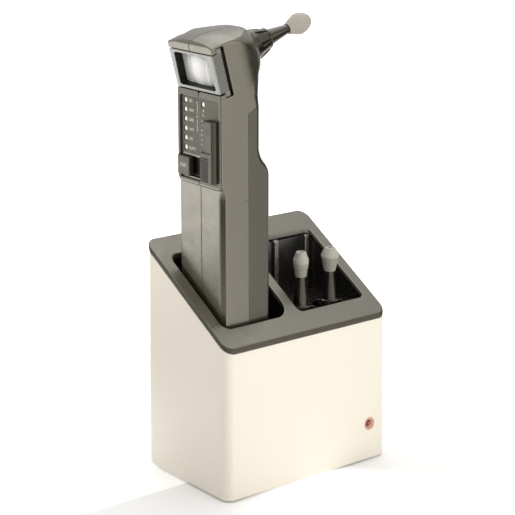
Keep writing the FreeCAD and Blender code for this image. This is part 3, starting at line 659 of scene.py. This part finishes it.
# rib fronts above the floor keep a colour near the plastic's own; the rest of the pocket liner takes near-black painted
# shade
ribs_ = ((cen[:, 0] > 22.4) & (cen[:, 0] < 25.8) | (cen[:, 0] > 44.5) & (cen[:, 0] < 47.6)) & (cen[:, 1] > 20.9) & (
    cen[:, 1] < 22.9) & (cen[:, 2] > 87.0)
o = mesh_piece("tip_tray_liner", V, Q)
dress(o, "stand", "deck_plastic", ["tray_painted_shade", "tray_rib"], "tip_tray")
second_material(o, ribs_)

# charge light: countersunk ring and the lamp's dome, turned about the front's normal
ring = soften([(0.0, 3.6), (0.0, 3.0), (1.55, 1.65), (4.6, 1.65), (4.6, 3.1), (0.35, 3.1), (0.35, 3.6)][::-1], 0.12)
V, Q = lathe(ring, 72)
V = place(V, (43.4, -36.75, 20.5), (0, 1, 0), (1, 0, 0))
o = mesh_piece("charge_light_ring", V, Q, 40)
dress(o, "stand", "led_ring", "led_ring", "led_bezel")
dome = [(6.0, 0.001)] + [(6.0, 1.5)] + [(1.55 - 1.5 * math.sin(t), 1.5 * math.cos(t) + 0.001)
                                       for t in np.linspace(0, math.pi / 2, 12)]
V, Q = lathe(dome, 48)
V = place(V, (43.4, -36.75, 20.5), (0, 1, 0), (1, 0, 0))
o = mesh_piece("charge_light_lens", V, Q, 40)
dress(o, "stand", "red_led", "red_led", "charge_led")

# ======================================================== instrument housing
back_x = curve((40, -14.05), (163, -14.05), (166, -14.05), (168.3, -14.15), (170.5, -14.8), (172.8, -16.05),
               (175.2, -18.0), (177.5, -19.35), (179.7, -20.15), (181.8, -20.6), (204.7, -20.6), (206.8, -20.5),
               (208.9, -20.25), (211, -19.6), (213, -18.7), (215, -17.3), (218, -14.6), (222, -9.5))
top_z = curve((-56, 237.2), (-53, 238.0), (-46, 240.4), (-38.6, 241.9), (-32, 242.6), (-27.7, 242.9), (-24, 243.0),
              (-20.5, 242.6), (-16, 241.5))
arch_z = curve((-56, 1.9), (-53, 2.0), (-46, 2.2), (-38.6, 2.4), (-33, 2.9), (-28, 3.2), (-24, 2.2), (-20.5, 0.3),
               (-16, 0.0))
crease = curve((-56, 0.4), (-52, 0.5), (-46, 0.7), (-40, 1.2), (-35, 2.2), (-31, 3.8), (-27, 6.5), (-23, 9.8),
               (-20, 12.0), (-16, 12.5))


def outer_sdf(x, y, z):
    u, v = head_uv(x, z)
    k = smooth((z - 203) / 16)
    hw = 18.75 - 6.0 * np.clip((u - 15) / 18.0, 0, 1.3) ** 2.3 * k
    side = abs(y - YC) - hw
    sb = (back_x(z + 0.05) - back_x(z - 0.05)) * 10
    back = (x - back_x(z)) / np.sqrt(1 + sb * sb)
    g = smooth((u - 23) / 10.0) * k
    down = np.clip((ST + sb * CT) / np.sqrt(1 + sb * sb), 0.5, 1.0)
    d = rint(back / (1 - g + g * down), side, 5.0 + 1.3 * smooth((z - 203) / 8) * (1 - g) + 6.0 * g)
    far = smooth((y - YC + 3.0) / 8.0) * smooth((x + 44.0) / 8.0)
    roof = (z - (top_z(x) - arch_z(x) * (1 - 0.5 * far) * ((y - YC) / 18.75) ** 2)) * 0.96
    d = mx(d, rint(roof, side, crease(x) * (1 - 0.4 * far)))
    xf = np.interp(z, [40, 208.5, 233.0, 236.4, 242], [-46.1, -46.1, -52.66, -53.1, -51.4])
    front = (xf - x) * np.where(z > 208.5, CT, 1.0)
    run = mx(z - 157.0, 0) / 6.2
    fade = 1.7 * (1 - np.sqrt(mx(1 - run * run, 0)))
    near = -0.905 * (x + 46.1) - 0.426 * (y + 18.75) - fade - 9.0 * (z > 163.2)
    d = rint(d, front, np.where(y > 0, 0.7, 0.35))
    # seam line over the roof, and a fine line along the brow's upper edge
    d = rsub(d, mx(hyp(y - YS, roof + 0.05) - 0.3, 228.0 - z), 0.05)
    d = rsub(d, mx(hyp(front + 0.1, roof + 0.1) - 0.27, 228.0 - z), 0.05)
    d = rint(d, near, 0.45)
    # control panel block, proud of the handle's face
    p = rint(rect(y, z, Y0, Y1, 162.6, 212.3, (3.2, 3.2, 0.3, 0.3)), -47.3 - x, 0.75)
    p = mx(p, x + 40.0)
    d = mn(d, p)
    d = rint(d, u - NOSE_S, 0.7)
    return rint(d, 46.0 - z, 0.6)


def openings(d, x, y, z):
    u, v = head_uv(x, z)
    a = abs(y - YC)
    # slot for the sliding lens
    d = rsub(d, mx(abs(v) - 10.9, u - 3.4), 0.25)
    d = rsub(d, mx(slab(v, -13.1, 13.3), slab(u, 3.2, 8.0)), 0.2)
    # bore and cavity behind the lens
    r = hyp(y - YC, v)
    d = mx(d, -mx(r - 9.0, 6.0 - u))
    d = mx(d, -mx(hyp(y - YC, v + 10.6) - 1.05, u - 44))
    # panel recess, deeper in its lamp half; wells, slot and lamp holes
    rec = rect(y, z, -19.5, 13.0, 165.4, 208.5, (1.8, 0.5, 1.5, 1.5))
    d = rsub(d, mx(rec, x + 46.95), 0.25)
    d = rsub(d, mx(mx(rec, YS - y), x + 46.2), 0.45)
    d = rsub(d, mx(rect(y, z, 3.5, 14.4, 166.3, 177.0, 0.4), x + 44.7), 0.2)
    d = rsub(d, mx(rect(y, z, -2.6, 3.7, 166.3, 177.0, 0.3), x + 44.9), 0.2)
    d = mx(d, -mx(rect(y, z, -16.0, -11.6, 177.5, 194.5, 0.3), x + 42.4))
    d = mx(d, -mx(hyp(y - 9.0, z - 171.5) - 1.75, x + 42.2))
    for lz in LED_Z:
        d = mx(d, -mx(hyp(y - LED_Y, z - lz) - 1.6, x + 42.4))
    d = mx(d, -mx(hyp(y - READY[0], z - READY[1]) - 1.6, x + 42.4))
    for py in (-10.0, 3.0):
        d = mx(d, -mx(hyp(x + 31.0, y - py) - 2.3, z - 46.75))
    return d


def cover_plane(x, z):
    """Negative on the rear cover's side of its seam."""
    a = -(x + 29.6)
    b = ((z - 201.0) - (x + 29.6) * 0.5)
    c = ((z - 203.7) - (x + 24.2) * 0.25)
    return mx(a, mx(b * 0.894, c * 0.97))


def right_sdf(x, y, z):
    d = openings(outer_sdf(x, y, z), x, y, z)
    d = rint(d, y - (YS - 0.08), 0.28)
    # small pinhole in the side
    d = rsub(d, np.sqrt((x + 31.3) ** 2 + (y + 22.1) ** 2 + (z - 155.7) ** 2) - 0.5, 0.05)
    return rint(d, -cover_plane(x, z) + 0.06, 0.25)


def left_sdf(x, y, z):
    d = openings(outer_sdf(x, y, z), x, y, z)
    d = rint(d, (YS + 0.08) - y, 0.28)
    for sz in (57.0, 108.0, 155.0):
        d = rsub(d, mx(hyp(x + 40.9, z - sz) - 2.2, 13.8 - y), 0.2)
    return rint(d, -cover_plane(x, z) + 0.06, 0.25)


def cover_sdf(x, y, z):
    d = outer_sdf(x, y, z)
    taper = (abs(y - YC) - (18.75 - 0.032 * (x + 29.6) - 0.05)) * 1.0
    d = mx(d, taper)
    for py in (-10.0, 3.0):
        d = mx(d, -mx(hyp(x + 31.0, y - py) - 2.3, z - 46.75))
    return rint(d, cover_plane(x, z) + 0.06, 0.25)


xs = lines(-54.2, -12.6, 0.7, (-53.9, -52.2, 0.3), (-51, -47.6, 0.45), (-47.6, -43.8, 0.25), (-32.2, -28.8, 0.3))
zs = lines(45.2, 244.4, 6.0, (45.2, 47.2, 0.3), (54, 60, 0.6), (105, 111, 0.6), (152, 162, 0.6), (154.8, 156.6, 0.25), (161.8, 167.6, 0.3),
           (167.6, 212.8, 0.42), (212.8, 236.5, 0.5), (236.5, 244.4, 0.45))
ysr = lines(-22.7, -2.4, 1.2, (-22.7, -17.8, 0.25), (-17.8, -12, 0.6), (-12, -4.0, 0.45), (-4.0, -2.4, 0.18))
ysl = lines(-3.7, 16.2, 1.2, (-3.7, -2.0, 0.18), (-2, 12.0, 0.45), (12.0, 16.2, 0.25))


def panel_faces(c):
    """1 deep in the button's and slider's wells, which get no light and take near-black painted shade; 2 on the panel's
    rim; else 0.
    """
    x, y, z = c[:, 0], c[:, 1], c[:, 2]
    well = (x > -46.7) & (x < -44.0) & (y > -2.8) & (y < 14.6) & (z > 166.1) & (z < 177.2)
    rim = (x < -46.5) & (z > 164.0) & (z < 212.0) & (y > -21.2) & (y < 15.0)
    return np.where(well, 1, np.where(rim, 2, 0))


Vr, Qr = contour(right_sdf, xs, ysr, zs)
o = mesh_piece("housing_right_shell", Vr, Qr)
dress(o, "instrument", "housing_plastic", ["housing_plastic", "recess_painted_shade", "panel_rim"], "housing_right")
second_material(o, panel_faces(Vr[Qr].mean(1)))
Vl, Ql = contour(left_sdf, xs, ysl, zs)
o = mesh_piece("housing_left_shell", Vl, Ql)
dress(o, "instrument", "housing_plastic", ["housing_plastic", "recess_painted_shade", "panel_rim"], "housing_left")
second_material(o, panel_faces(Vl[Ql].mean(1)))
xs = lines(-30.2, -12.6, 0.6, (-30.2, -28.8, 0.25))
ys = lines(-22.9, 16.4, 2.0, (-22.9, -9, 0.5), (2, 16.4, 0.5))
zs = lines(45.2, 209, 6.0, (45.2, 47.2, 0.3), (160, 206, 0.6))
o = mesh_piece("battery_cover", *contour(cover_sdf, xs, ys, zs))
dress(o, "instrument", "housing_plastic", "cover_plastic", "rear_cover")

# nose ring and spigot
prof = soften([(33.1, 5.4), (33.1, 10.7), (34.7, 10.7), (35.0, 10.4), (35.0, 6.9), (40.6, 6.3), (40.6, 5.4)][::-1], 0.2)
V, Q = lathe(prof, 96)
o = mesh_piece("nose_ring_turned", on_axis(V), Q, 40)
dress(o, "instrument", "dark_plastic", "dark_plastic", "nose_ring")


# ======================================================== specula and ear tips
def speculum_parts(shaft, fins=6, n=96):
    rc0, rm, rc1, zm, length = shaft
    prof = [(-3.5, 8.95), (-2.6, 8.95), (-2.4, 8.75), (0.5, 8.2), (2.6, 7.3), (6.1, 6.15), (8.8, 5.5), (8.85, 5.7),
            (9.7, 5.65), (9.95, rc0 + 0.15), (10.9, rc0 - 0.1), (zm, rm), (length, rc1),
            (length, rc1 - 0.75), (zm, rm - 0.8), (9.6, rc0 - 1.0), (8.2, 4.3), (4.4, 5.2), (2.6, 6.4), (1.0, 7.4),
            (-1.0, 7.6), (-3.5, 8.3)]
    parts = [lathe(soften(prof[::-1], 0.22), n)]
    # fins standing on the skirt, each a thin tapered plate with a rounded back
    for i in range(fins):
        a = 2 * math.pi * i / fins
        pts = [(7.7, 0.6), (8.5, 0.6), (8.3, 1.6), (7.35, 5.0), (6.1, 8.5), (5.25, 8.5), (5.7, 5.4), (6.8, 2.6)]
        ring = []
        for w, dr in ((-0.30, -0.10), (-0.16, 0.05), (0.16, 0.05), (0.30, -0.10)):
            ring.append([(r + dr, w, h) for r, h in pts])
        V = np.array(ring).reshape(-1, 3)
        m = len(pts)
        Q = []
        for s in range(3):
            for k in range(m):
                l = (k + 1) % m
                Q.append((s * m + k, s * m + l, (s + 1) * m + l, (s + 1) * m + k))
        Q += [(0, 7, 6, 1), (1, 6, 5, 2), (2, 5, 4, 3)]
        e = 3 * m
        Q += [(e + 1, e + 6, e + 7, e), (e + 2, e + 5, e + 6, e + 1), (e + 3, e + 4, e + 5, e + 2)]
        c, s = math.cos(a), math.sin(a)
        R = np.array([[c, s, 0], [-s, c, 0], [0, 0, 1]])
        parts.append((V @ R, np.array(Q)))
    return parts


def ear_tip_parts(profile, shaft, n=80):
    rc0, rm, rc1, zm, length = shaft
    top = profile[-1][0] + zm
    g = 0.06
    pts = [(zm + h, r) for h, r in profile]
    pts += [(top, 1.3), (length + 0.1, 1.3), (length + 0.1, rc1 + g), (zm + profile[0][0], rm + g)]
    return [lathe(soften(pts[::-1], 0.2, 3), n)]


SH_M, SH_1, SH_2 = (4.4, 2.4, 1.6, 24.0, 36.0), (4.3, 2.6, 1.5, 25.4, 37.0), (4.3, 2.4, 1.5, 24.6, 36.0)
prof_m = [(0, 2.9), (0.3, 3.1), (3.2, 4.3), (6.3, 5.45), (7.3, 5.65), (8.4, 5.65), (10.5, 5.2), (12.8, 4.2),
          (14.2, 3.2), (14.8, 2.4)]
prof_1 = [(0.55, 3.0), (0.8, 3.15), (5.0, 3.6), (5.6, 3.95), (8.2, 4.2), (10.4, 4.2), (10.7, 4.0), (12.4, 3.3),
          (13.8, 2.85), (14.2, 2.65), (14.4, 2.35)]
prof_2 = [(1.0, 3.0), (1.25, 3.2), (5.0, 3.95), (8.8, 4.7), (9.0, 4.9), (10.2, 4.9), (10.4, 4.7), (12.0, 4.05),
          (13.2, 3.35), (13.8, 2.95), (14.1, 2.6)]


def tip(name, shaft, profile, put, body, silicone, low=None):
    parts = [(put(V), Q) for V, Q in speculum_parts(shaft)]
    o = join_parts(name + "_cone", parts, angle=42)
    dress(o, body, "speculum_plastic", "speculum_plastic", name + "_speculum")
    parts = ear_tip_parts(profile, shaft)
    h = np.concatenate([V[Q].mean(1)[:, 2] for V, Q in parts]) - shaft[3]
    o = join_parts(name + "_silicone", [(put(V), Q) for V, Q in parts], angle=40 if low else 60)
    dress(o, body, "silicone", silicone if low is None else [silicone, "silicone_painted_shade"], name + "_ear_tip")
    # faces below the height low take the silicone's painted-shade copy
    if low is not None:
        second_material(o, h < low)


tip("mounted", SH_M, prof_m, lambda V: on_axis(V, TIP_S), "mounted_tip", "silicone_mounted")
tip("small", SH_1, prof_1, lambda V: V + np.array([12.0, -14.0, 80.0]), "small_tip", "silicone", 8.2)
tip("medium", SH_2, prof_2, lambda V: V + np.array([32.5, -14.0, 80.0]), "medium_tip", "silicone", 8.9)


# ======================================================== sliding lens
def win(y, v, inset=0.0):
    """Signed distance to the lens opening, wider at its foot."""
    near = -18.8 + 0.129 * (v + 8.8)
    far = 11.8 - 0.045 * (v + 8.8)
    a = mx(near - y, y - far) * 0.995 + inset
    b = slab(v, -8.8 + inset, 9.0 - inset)
    r = 1.6
    return mn(mx(a + r, b + r), 0) + hyp(mx(a + r, 0), mx(b + r, 0)) - r


def frame_sdf(u, y, v):
    w = win(y, v)
    f = rint(rect(y, v, -21.5, 14.8, -10.4, 10.4, 0.9), -u, 0.5)
    f = mx(f, u - 3.6)
    yy = mn(y + 21.5, 14.8 - y)
    ribs = 0.22 * (1 + np.cos(2 * math.pi * (v + 0.4) / 1.5)) * smooth((10.1 - abs(v)) * 2) * smooth((u - 0.9) * 2)
    f = mx(f, -(yy - ribs))
    p = mx(rect(y, v, -21.5, 14.8, -12.8, 12.9, 0.5), slab(u, 3.5, 6.3))
    p = mx(p, -(yy - ribs * (abs(v) < 11)))
    d = runi(f, p, 0.15)
    d = rsub(d, mx(w, u - 9), 0.3)
    return mx(d, -mx(rect(y, v, -19.6, 13.2, -9.8, 9.8, 0.3), 4.8 - u))


us = lines(-0.6, 6.9, 0.45, (-0.6, 1.4, 0.2), (3.2, 5.1, 0.25))
ys = lines(-22.3, 15.6, 1.5, (-22.3, -20.6, 0.22), (-20.2, -14.5, 0.4), (9, 12.8, 0.4), (12.8, 15.6, 0.25))
vs = lines(-13.4, 13.5, 0.22)
V, Q = contour(frame_sdf, us, ys, vs)
cen = V[Q].mean(1)
# faces inside the lens window take near-black painted shade
inside = (win(cen[:, 1], cen[:, 2]) < 0.12) & (cen[:, 0] > 0.35)
V = np.stack([OX + V[:, 0] * CT - V[:, 2] * ST, V[:, 1], OZ + V[:, 0] * ST + V[:, 2] * CT], 1)
o = mesh_piece("lens_carriage_frame", V, Q[:, ::-1])
dress(o, "lens_carriage", "bezel_grey", ["bezel_grey", "recess_painted_shade", "bezel_face"], "lens_frame")
second_material(o, np.where(inside, 1, np.where(cen[:, 0] < 0.42, 2, 0)))


def lens_sdf(u, y, v):
    dome = np.sqrt((u - 36.6) ** 2 + (y - YC) ** 2 + v * v) - 34.0
    a = mx(mx(win(y, v, 0.12), dome), u - 5.0)
    b = rint(rect(y, v, -19.5, 13.1, -9.7, 9.7, 0.3), slab(u, 4.9, 6.2), 0.2)
    return mn(a, b)


us = lines(2.2, 6.8, 0.3)
ys = lines(-20.2, 13.8, 0.6)
vs = lines(-10.4, 10.4, 0.5)
V, Q = contour(lens_sdf, us, ys, vs)
V = np.stack([OX + V[:, 0] * CT - V[:, 2] * ST, V[:, 1], OZ + V[:, 0] * ST + V[:, 2] * CT], 1)
o = mesh_piece("magnifier_lens", V, Q[:, ::-1], 40)
dress(o, "lens_carriage", "lens_glass", "lens_glass", "lens")


# ======================================================== slider and button
def slider_sdf(x, y, z):
    near = (1.45 - (x + 50.1) - (y + 18.7)) * 0.7071
    out = mn(rect(y, z, -18.7, -10.4, 176.0, 198.3, 0.35), rect(y, z, -18.7, -7.5, 166.4, 181.5, 0.35))
    d = rint(out, -50.1 - x, 0.3)
    d = rint(d, near, 0.25)
    d = rint(d, (-(x + 50.1) + (z - 198.3) + 0.4) * 0.7071, 0.2)
    # shallow groove across the front between the two parts
    d = rsub(d, mx(rect(y, z, -16.5, -2.0, 181.5, 182.7, 0.15), x + 49.5), 0.12)
    q = (z - 167.25) / 1.27
    tri_ = abs(q - np.round(q)) * 2
    rib = -50.48 + 0.5 * tri_
    rb = mx(mx(rib - x, rect(y, z, -13.9, -7.8, 166.6, 179.3, 0.2)), x + 49.5)
    d = mn(d, rb)
    d = mx(d, x + 47.25)
    stem = block(x, y, z, -47.8, -42.6, -15.2, -12.4, 178.5, 186.0, 0.15)
    return mn(d, stem)


xs = lines(-50.9, -42.2, 0.6, (-50.9, -48.4, 0.16), (-47.6, -47.0, 0.2))
ys = lines(-19.4, -7.0, 0.5, (-19.4, -16.2, 0.22), (-14.3, -13.4, 0.22), (-11, -9.8, 0.22), (-8.3, -7.0, 0.2))
zs = lines(165.8, 199.0, 0.5, (165.8, 180.4, 0.17), (180.4, 183.4, 0.2), (197, 199.0, 0.22))
o = mesh_piece("level_slider_knob", *contour(slider_sdf, xs, ys, zs))
dress(o, "level_slider", "control_plastic", "control_plastic", "level_slider")


def button_sdf(x, y, z):
    d = rint(rect(y, z, 3.8, 14.1, 166.6, 176.7, 0.5), -48.6 - x, 0.5)
    d = mx(d, x + 46.0)
    return mn(d, mx(hyp(y - 9.0, z - 171.5) - 1.5, slab(x, -46.4, -43.5)))


xs = lines(-49.2, -43.1, 0.6, (-49.2, -47.9, 0.16), (-46.5, -45.7, 0.25))
ys = lines(3.2, 14.7, 0.4, (3.2, 4.8, 0.2), (13.1, 14.7, 0.2))
zs = lines(166.0, 177.3, 0.4, (166.0, 167.6, 0.2), (175.6, 177.3, 0.2))
o = mesh_piece("start_button_cap", *contour(button_sdf, xs, ys, zs))
dress(o, "start_button", "control_plastic", "control_plastic", "start_button")

# ======================================================== lamps and print
dome = [(-5.0, 0.001), (-5.0, 1.4), (-0.55, 1.4)] + [(-0.55 + 0.45 * math.sin(t), 1.4 * math.cos(t) + 0.001)
                                                    for t in np.linspace(0, math.pi / 2, 10)[1:]]
V, Q = lathe(dome, 40)
parts = [(place(V, (-46.2, LED_Y, z), (-1, 0, 0)), Q) for z in LED_Z]
o = join_parts("frequency_lamps", parts, angle=60)
dress(o, "instrument", "clear_led", "clear_led", "indicator_leds")
V = V - np.array([0, 0, 0.5]) * (V[:, 2:3] < -3)
o = join_parts("ready_lamp", [(place(V, (-46.95, READY[0], READY[1]), (-1, 0, 0)), Q)], angle=60)
dress(o, "instrument", "clear_led", "clear_led", "ready_led")


def text_mesh(s, size, y, z, x, align="LEFT", squeeze=1.0):
    """Raised print on a face that looks to -X; y runs to the left of the viewer's right."""
    c = bpy.data.curves.new("t", "FONT")
    c.body = s
    c.size = size
    c.align_x = align
    c.align_y = "CENTER"
    c.extrude = 0.02
    c.resolution_u = 2
    o = bpy.data.objects.new("t", c)
    bpy.context.scene.collection.objects.link(o)
    bpy.context.view_layer.update()
    me = bpy.data.meshes.new_from_object(o)
    bpy.data.objects.remove(o)
    bpy.data.curves.remove(c)
    # text x -> -y, text y -> +z, text z -> -x
    R = Matrix(((0, 0, -1, x), (-squeeze, 0, 0, y), (0, 1, 0, z), (0, 0, 0, 1)))
    me.transform(R)
    return me


def bar(x, y0, y1, z0, z1, t=0.03):
    V = np.array([(x - t, y0, z0), (x - t, y1, z0), (x - t, y1, z1), (x - t, y0, z1),
                  (x + t, y0, z0), (x + t, y1, z0), (x + t, y1, z1), (x + t, y0, z1)], float)
    Q = np.array([(0, 3, 2, 1), (4, 5, 6, 7), (0, 1, 5, 4), (1, 2, 6, 5), (2, 3, 7, 6), (3, 0, 4, 7)])
    return V, Q


def print_piece(name, texts, bars, body, slot):
    bm = bmesh.new()
    for me in texts:
        bm.from_mesh(me)
        bpy.data.meshes.remove(me)
    for V, Q in bars:
        vs_ = [bm.verts.new(p) for p in V]
        for q in Q:
            bm.faces.new([vs_[i] for i in q])
    for v in bm.verts:
        v.co.z += FOOT
        v.co *= 0.001
    bmesh.ops.recalc_face_normals(bm, faces=bm.faces)
    me = bpy.data.meshes.new(name)
    bm.to_mesh(me)
    bm.free()
    o = bpy.data.objects.new(name, me)
    bpy.context.scene.collection.objects.link(o)
    return dress(o, body, slot, "print_white")


XF, XR = -46.2 - 0.17, -46.95 - 0.17
texts = [text_mesh(s, 2.35, 6.6, z, XF, "LEFT", 0.86) for s, z in
         zip(("500", "4000", "2000", "1000", "ON", "READY"), LED_Z)]
texts.append(text_mesh("Hz", 1.9, -0.75, (LED_Z[0] + LED_Z[3]) / 2, XF, "CENTER", 0.85))
bars = [bar(XF, -0.85, -0.55, LED_Z[0] - 6.2, LED_Z[0] + 0.2), bar(XF, -0.85, -0.55, LED_Z[3] - 0.2, LED_Z[3] + 6.0),
        bar(XF, -0.55, 0.3, LED_Z[0] - 0.05, LED_Z[0] + 0.2), bar(XF, -0.55, 0.3, LED_Z[3] - 0.2, LED_Z[3] + 0.05)]
print_piece("frequency_print", texts, bars, "instrument", "panel_label")
texts = [text_mesh(s, 1.9, -6.8, z, XR, "CENTER", 0.85) for s, z in (("dB", 202.3), ("HL", 200.0))]
texts += [text_mesh(s, 1.45, -5.4, 197.0 - 2.5 * i, XR, "CENTER", 0.85) for i, s in
          enumerate(("20", "25", "30", "35", "40", "45"))]
print_piece("level_print", texts, [], "instrument", "panel_label")
print_piece("start_print", [text_mesh("START", 2.35, 9.1, 171.9, -48.62, "CENTER", 0.85)], [], "start_button",
            "control_plastic")

# ======================================================== carried CAD nodes
CARRIED = {
    "base_plate": "base_plastic", "rubber_feet": "foot_rubber", "base_screws": "screw_steel",
    "charge_board": "circuit_board", "charge_components": "component_black", "power_inlet": "component_black",
    "contact_block": "component_black", "charge_pin_a": "contact_brass", "charge_pin_b": "contact_brass",
    "housing_screws": "screw_steel", "frequency_label": "panel_label", "level_label": "panel_label",
    "display_board": "circuit_board", "slide_switch": "component_black", "start_switch": "component_black",
    "main_board": "circuit_board", "board_components": "component_black", "battery_cells": "cell_sleeve",
    "contact_pads": "contact_brass", "lamp_socket": "contact_brass", "lamp": "lamp_glass",
    "receiver": "receiver_can", "sound_tube": "tube_rubber"}
for n, k in CARRIED.items():
    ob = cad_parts[n]
    ob.data.materials.clear()
    ob.data.materials.append(M[k])
    b = ob.modifiers.new("edges", "BEVEL")
    b.width = 0.0002
    b.segments = 2
    b.limit_method = "ANGLE"
    b.angle_limit = math.radians(50)
    b.use_clamp_overlap = True

# ======================================================== floor, light, camera
scene = bpy.context.scene


def floor():
    n, size = 48, 6.0
    bm = bmesh.new()
    bmesh.ops.create_grid(bm, x_segments=n, y_segments=n, size=size)
    me = bpy.data.meshes.new("floor")
    bm.to_mesh(me)
    bm.free()
    o = bpy.data.objects.new("floor", me)
    scene.collection.objects.link(o)
    m = bpy.data.materials.new("floor_white")
    m.use_nodes = True
    t = m.node_tree
    new, link = t.nodes.new, t.links.new
    b = t.nodes["Principled BSDF"]
    b.inputs["Base Color"].default_value = (0.88, 0.88, 0.88, 1)
    b.inputs["Roughness"].default_value = 0.9
    b.inputs["Specular IOR Level"].default_value = 0.1
    # lit from below like a light table: brighter behind and to the right, dim on the left
    g = new("ShaderNodeNewGeometry")
    s = new("ShaderNodeSeparateXYZ")
    link(g.outputs["Position"], s.inputs[0])
    at = new("ShaderNodeMath")
    at.operation = "ARCTAN2"
    link(s.outputs["Y"], at.inputs[0])
    link(s.outputs["X"], at.inputs[1])
    r = new("ShaderNodeMapRange")
    r.inputs["From Min"].default_value = -math.pi
    r.inputs["From Max"].default_value = math.pi
    link(at.outputs[0], r.inputs["Value"])
    cr = new("ShaderNodeValToRGB")
    cr.color_ramp.interpolation = "EASE"
    while len(cr.color_ramp.elements) < len(FLOOR_GLOW):
        cr.color_ramp.elements.new(0.5)
    # azimuth from +X, anticlockwise: -180 is -X, -90 is -Y
    for e, (deg, val) in zip(cr.color_ramp.elements, FLOOR_GLOW):
        e.position = (deg + 180.0) / 360.0
        e.color = (val / 4.0, val / 4.0, val / 4.0, 1)
    link(r.outputs["Result"], cr.inputs["Fac"])
    mu = new("ShaderNodeMath")
    mu.operation = "MULTIPLY"
    link(cr.outputs["Color"], mu.inputs[0])
    # weaker right round the stand's foot
    ln = new("ShaderNodeVectorMath")
    ln.operation = "LENGTH"
    link(g.outputs["Position"], ln.inputs[0])
    fr = new("ShaderNodeMapRange")
    fr.inputs["From Min"].default_value = 0.10
    fr.inputs["From Max"].default_value = 0.28
    fr.inputs["To Min"].default_value = 3.2
    fr.inputs["To Max"].default_value = 4.0
    link(ln.outputs["Value"], fr.inputs["Value"])
    link(fr.outputs["Result"], mu.inputs[1])
    b.inputs["Emission Color"].default_value = (1, 1, 1, 1)
    link(mu.outputs[0], b.inputs["Emission Strength"])
    me.materials.append(m)


FLOOR_GLOW = [(-180, 0.05), (-150, 0.05), (-115, 0.5), (-78, 0.95), (-48, 0.05), (-10, 0.25), (35, 0.6), (75, 0.6),
              (105, 1.2), (130, 2.0), (158, 0.3)]
floor()


def flag(name, x, y, az, half, high, thick=0.004):
    """Dark card standing or lying on the floor, facing the object, out of the picture."""
    me = bpy.data.meshes.new(name)
    c, d = math.cos(math.radians(az)), math.sin(math.radians(az))
    V = [(x + c * a - d * b, y + d * a + c * b, z) for a in (-thick, thick) for b in (-half, half)
         for z in (0.0, high)]
    me.from_pydata(V, [], [(0, 1, 3, 2), (4, 6, 7, 5), (0, 4, 5, 1), (2, 3, 7, 6), (1, 5, 7, 3), (0, 2, 6, 4)])
    o = bpy.data.objects.new(name, me)
    scene.collection.objects.link(o)
    m = bpy.data.materials.new(name)
    m.use_nodes = True
    b = m.node_tree.nodes["Principled BSDF"]
    b.inputs["Base Color"].default_value = (0.015, 0.015, 0.015, 1)
    b.inputs["Roughness"].default_value = 0.9
    b.inputs["Specular IOR Level"].default_value = 0.1
    me.materials.append(m)
    o.visible_camera = False


flag("flag_left", -0.46, -0.07, 0.0, 0.25, 0.36)
flag("flag_right", 0.50, -0.125, 0.0, 0.245, 0.34)
flag("mat_low", -0.185, 0.236, 128.0, 0.075, 0.003, 0.13)

world = bpy.data.worlds.new("studio")
scene.world = world
world.use_nodes = True
bg = world.node_tree.nodes["Background"]
bg.inputs["Color"].default_value = (1, 1, 1, 1)
bg.inputs["Strength"].default_value = 0.82


def softbox(name, loc, target, size, power, size_y=None, color=(1, 1, 1)):
    l = bpy.data.lights.new(name, "AREA")
    l.shape = "RECTANGLE"
    l.size = size
    l.size_y = size_y or size
    l.energy = power
    l.color = color
    o = bpy.data.objects.new(name, l)
    scene.collection.objects.link(o)
    o.location = loc
    o.rotation_euler = (Vector(loc) - Vector(target)).to_track_quat("Z", "Y").to_euler()
    return o


softbox("overhead", (0.25, 0.05, 1.1), (0, 0, 0.1), 0.8, 2.5)
softbox("front", (0.05, -1.35, 0.6), (0, 0, 0.12), 0.8, 2.05)
softbox("front_right", (0.75, -1.1, 0.45), (0, 0, 0.12), 0.7, 1.8, color=(1.0, 0.93, 0.76))
softbox("back_right", (0.52, 0.74, 1.12), (-0.03, 0, 0.24), 0.6, 1.6)
softbox("left", (-1.05, 0.15, 1.0), (0, 0, 0.12), 0.7, 4.8, color=(1.0, 0.95, 0.86))

cam = bpy.data.cameras.new("camera")
cam.sensor_width = 36.0
cam.lens = 120.80
cam.clip_start, cam.clip_end = 0.05, 20.0
co = bpy.data.objects.new("camera", cam)
scene.collection.objects.link(co)
az, el = math.radians(-38.313), math.radians(15.686)
co.location = (-0.56079, -0.70125, 0.36865)
co.rotation_euler = Vector((math.sin(az) * math.cos(el), -math.cos(az) * math.cos(el), math.sin(el))).to_track_quat(
    "Z", "Y").to_euler()
scene.camera = co
scene.view_settings.view_transform = "Standard"
scene.view_settings.look = "None"
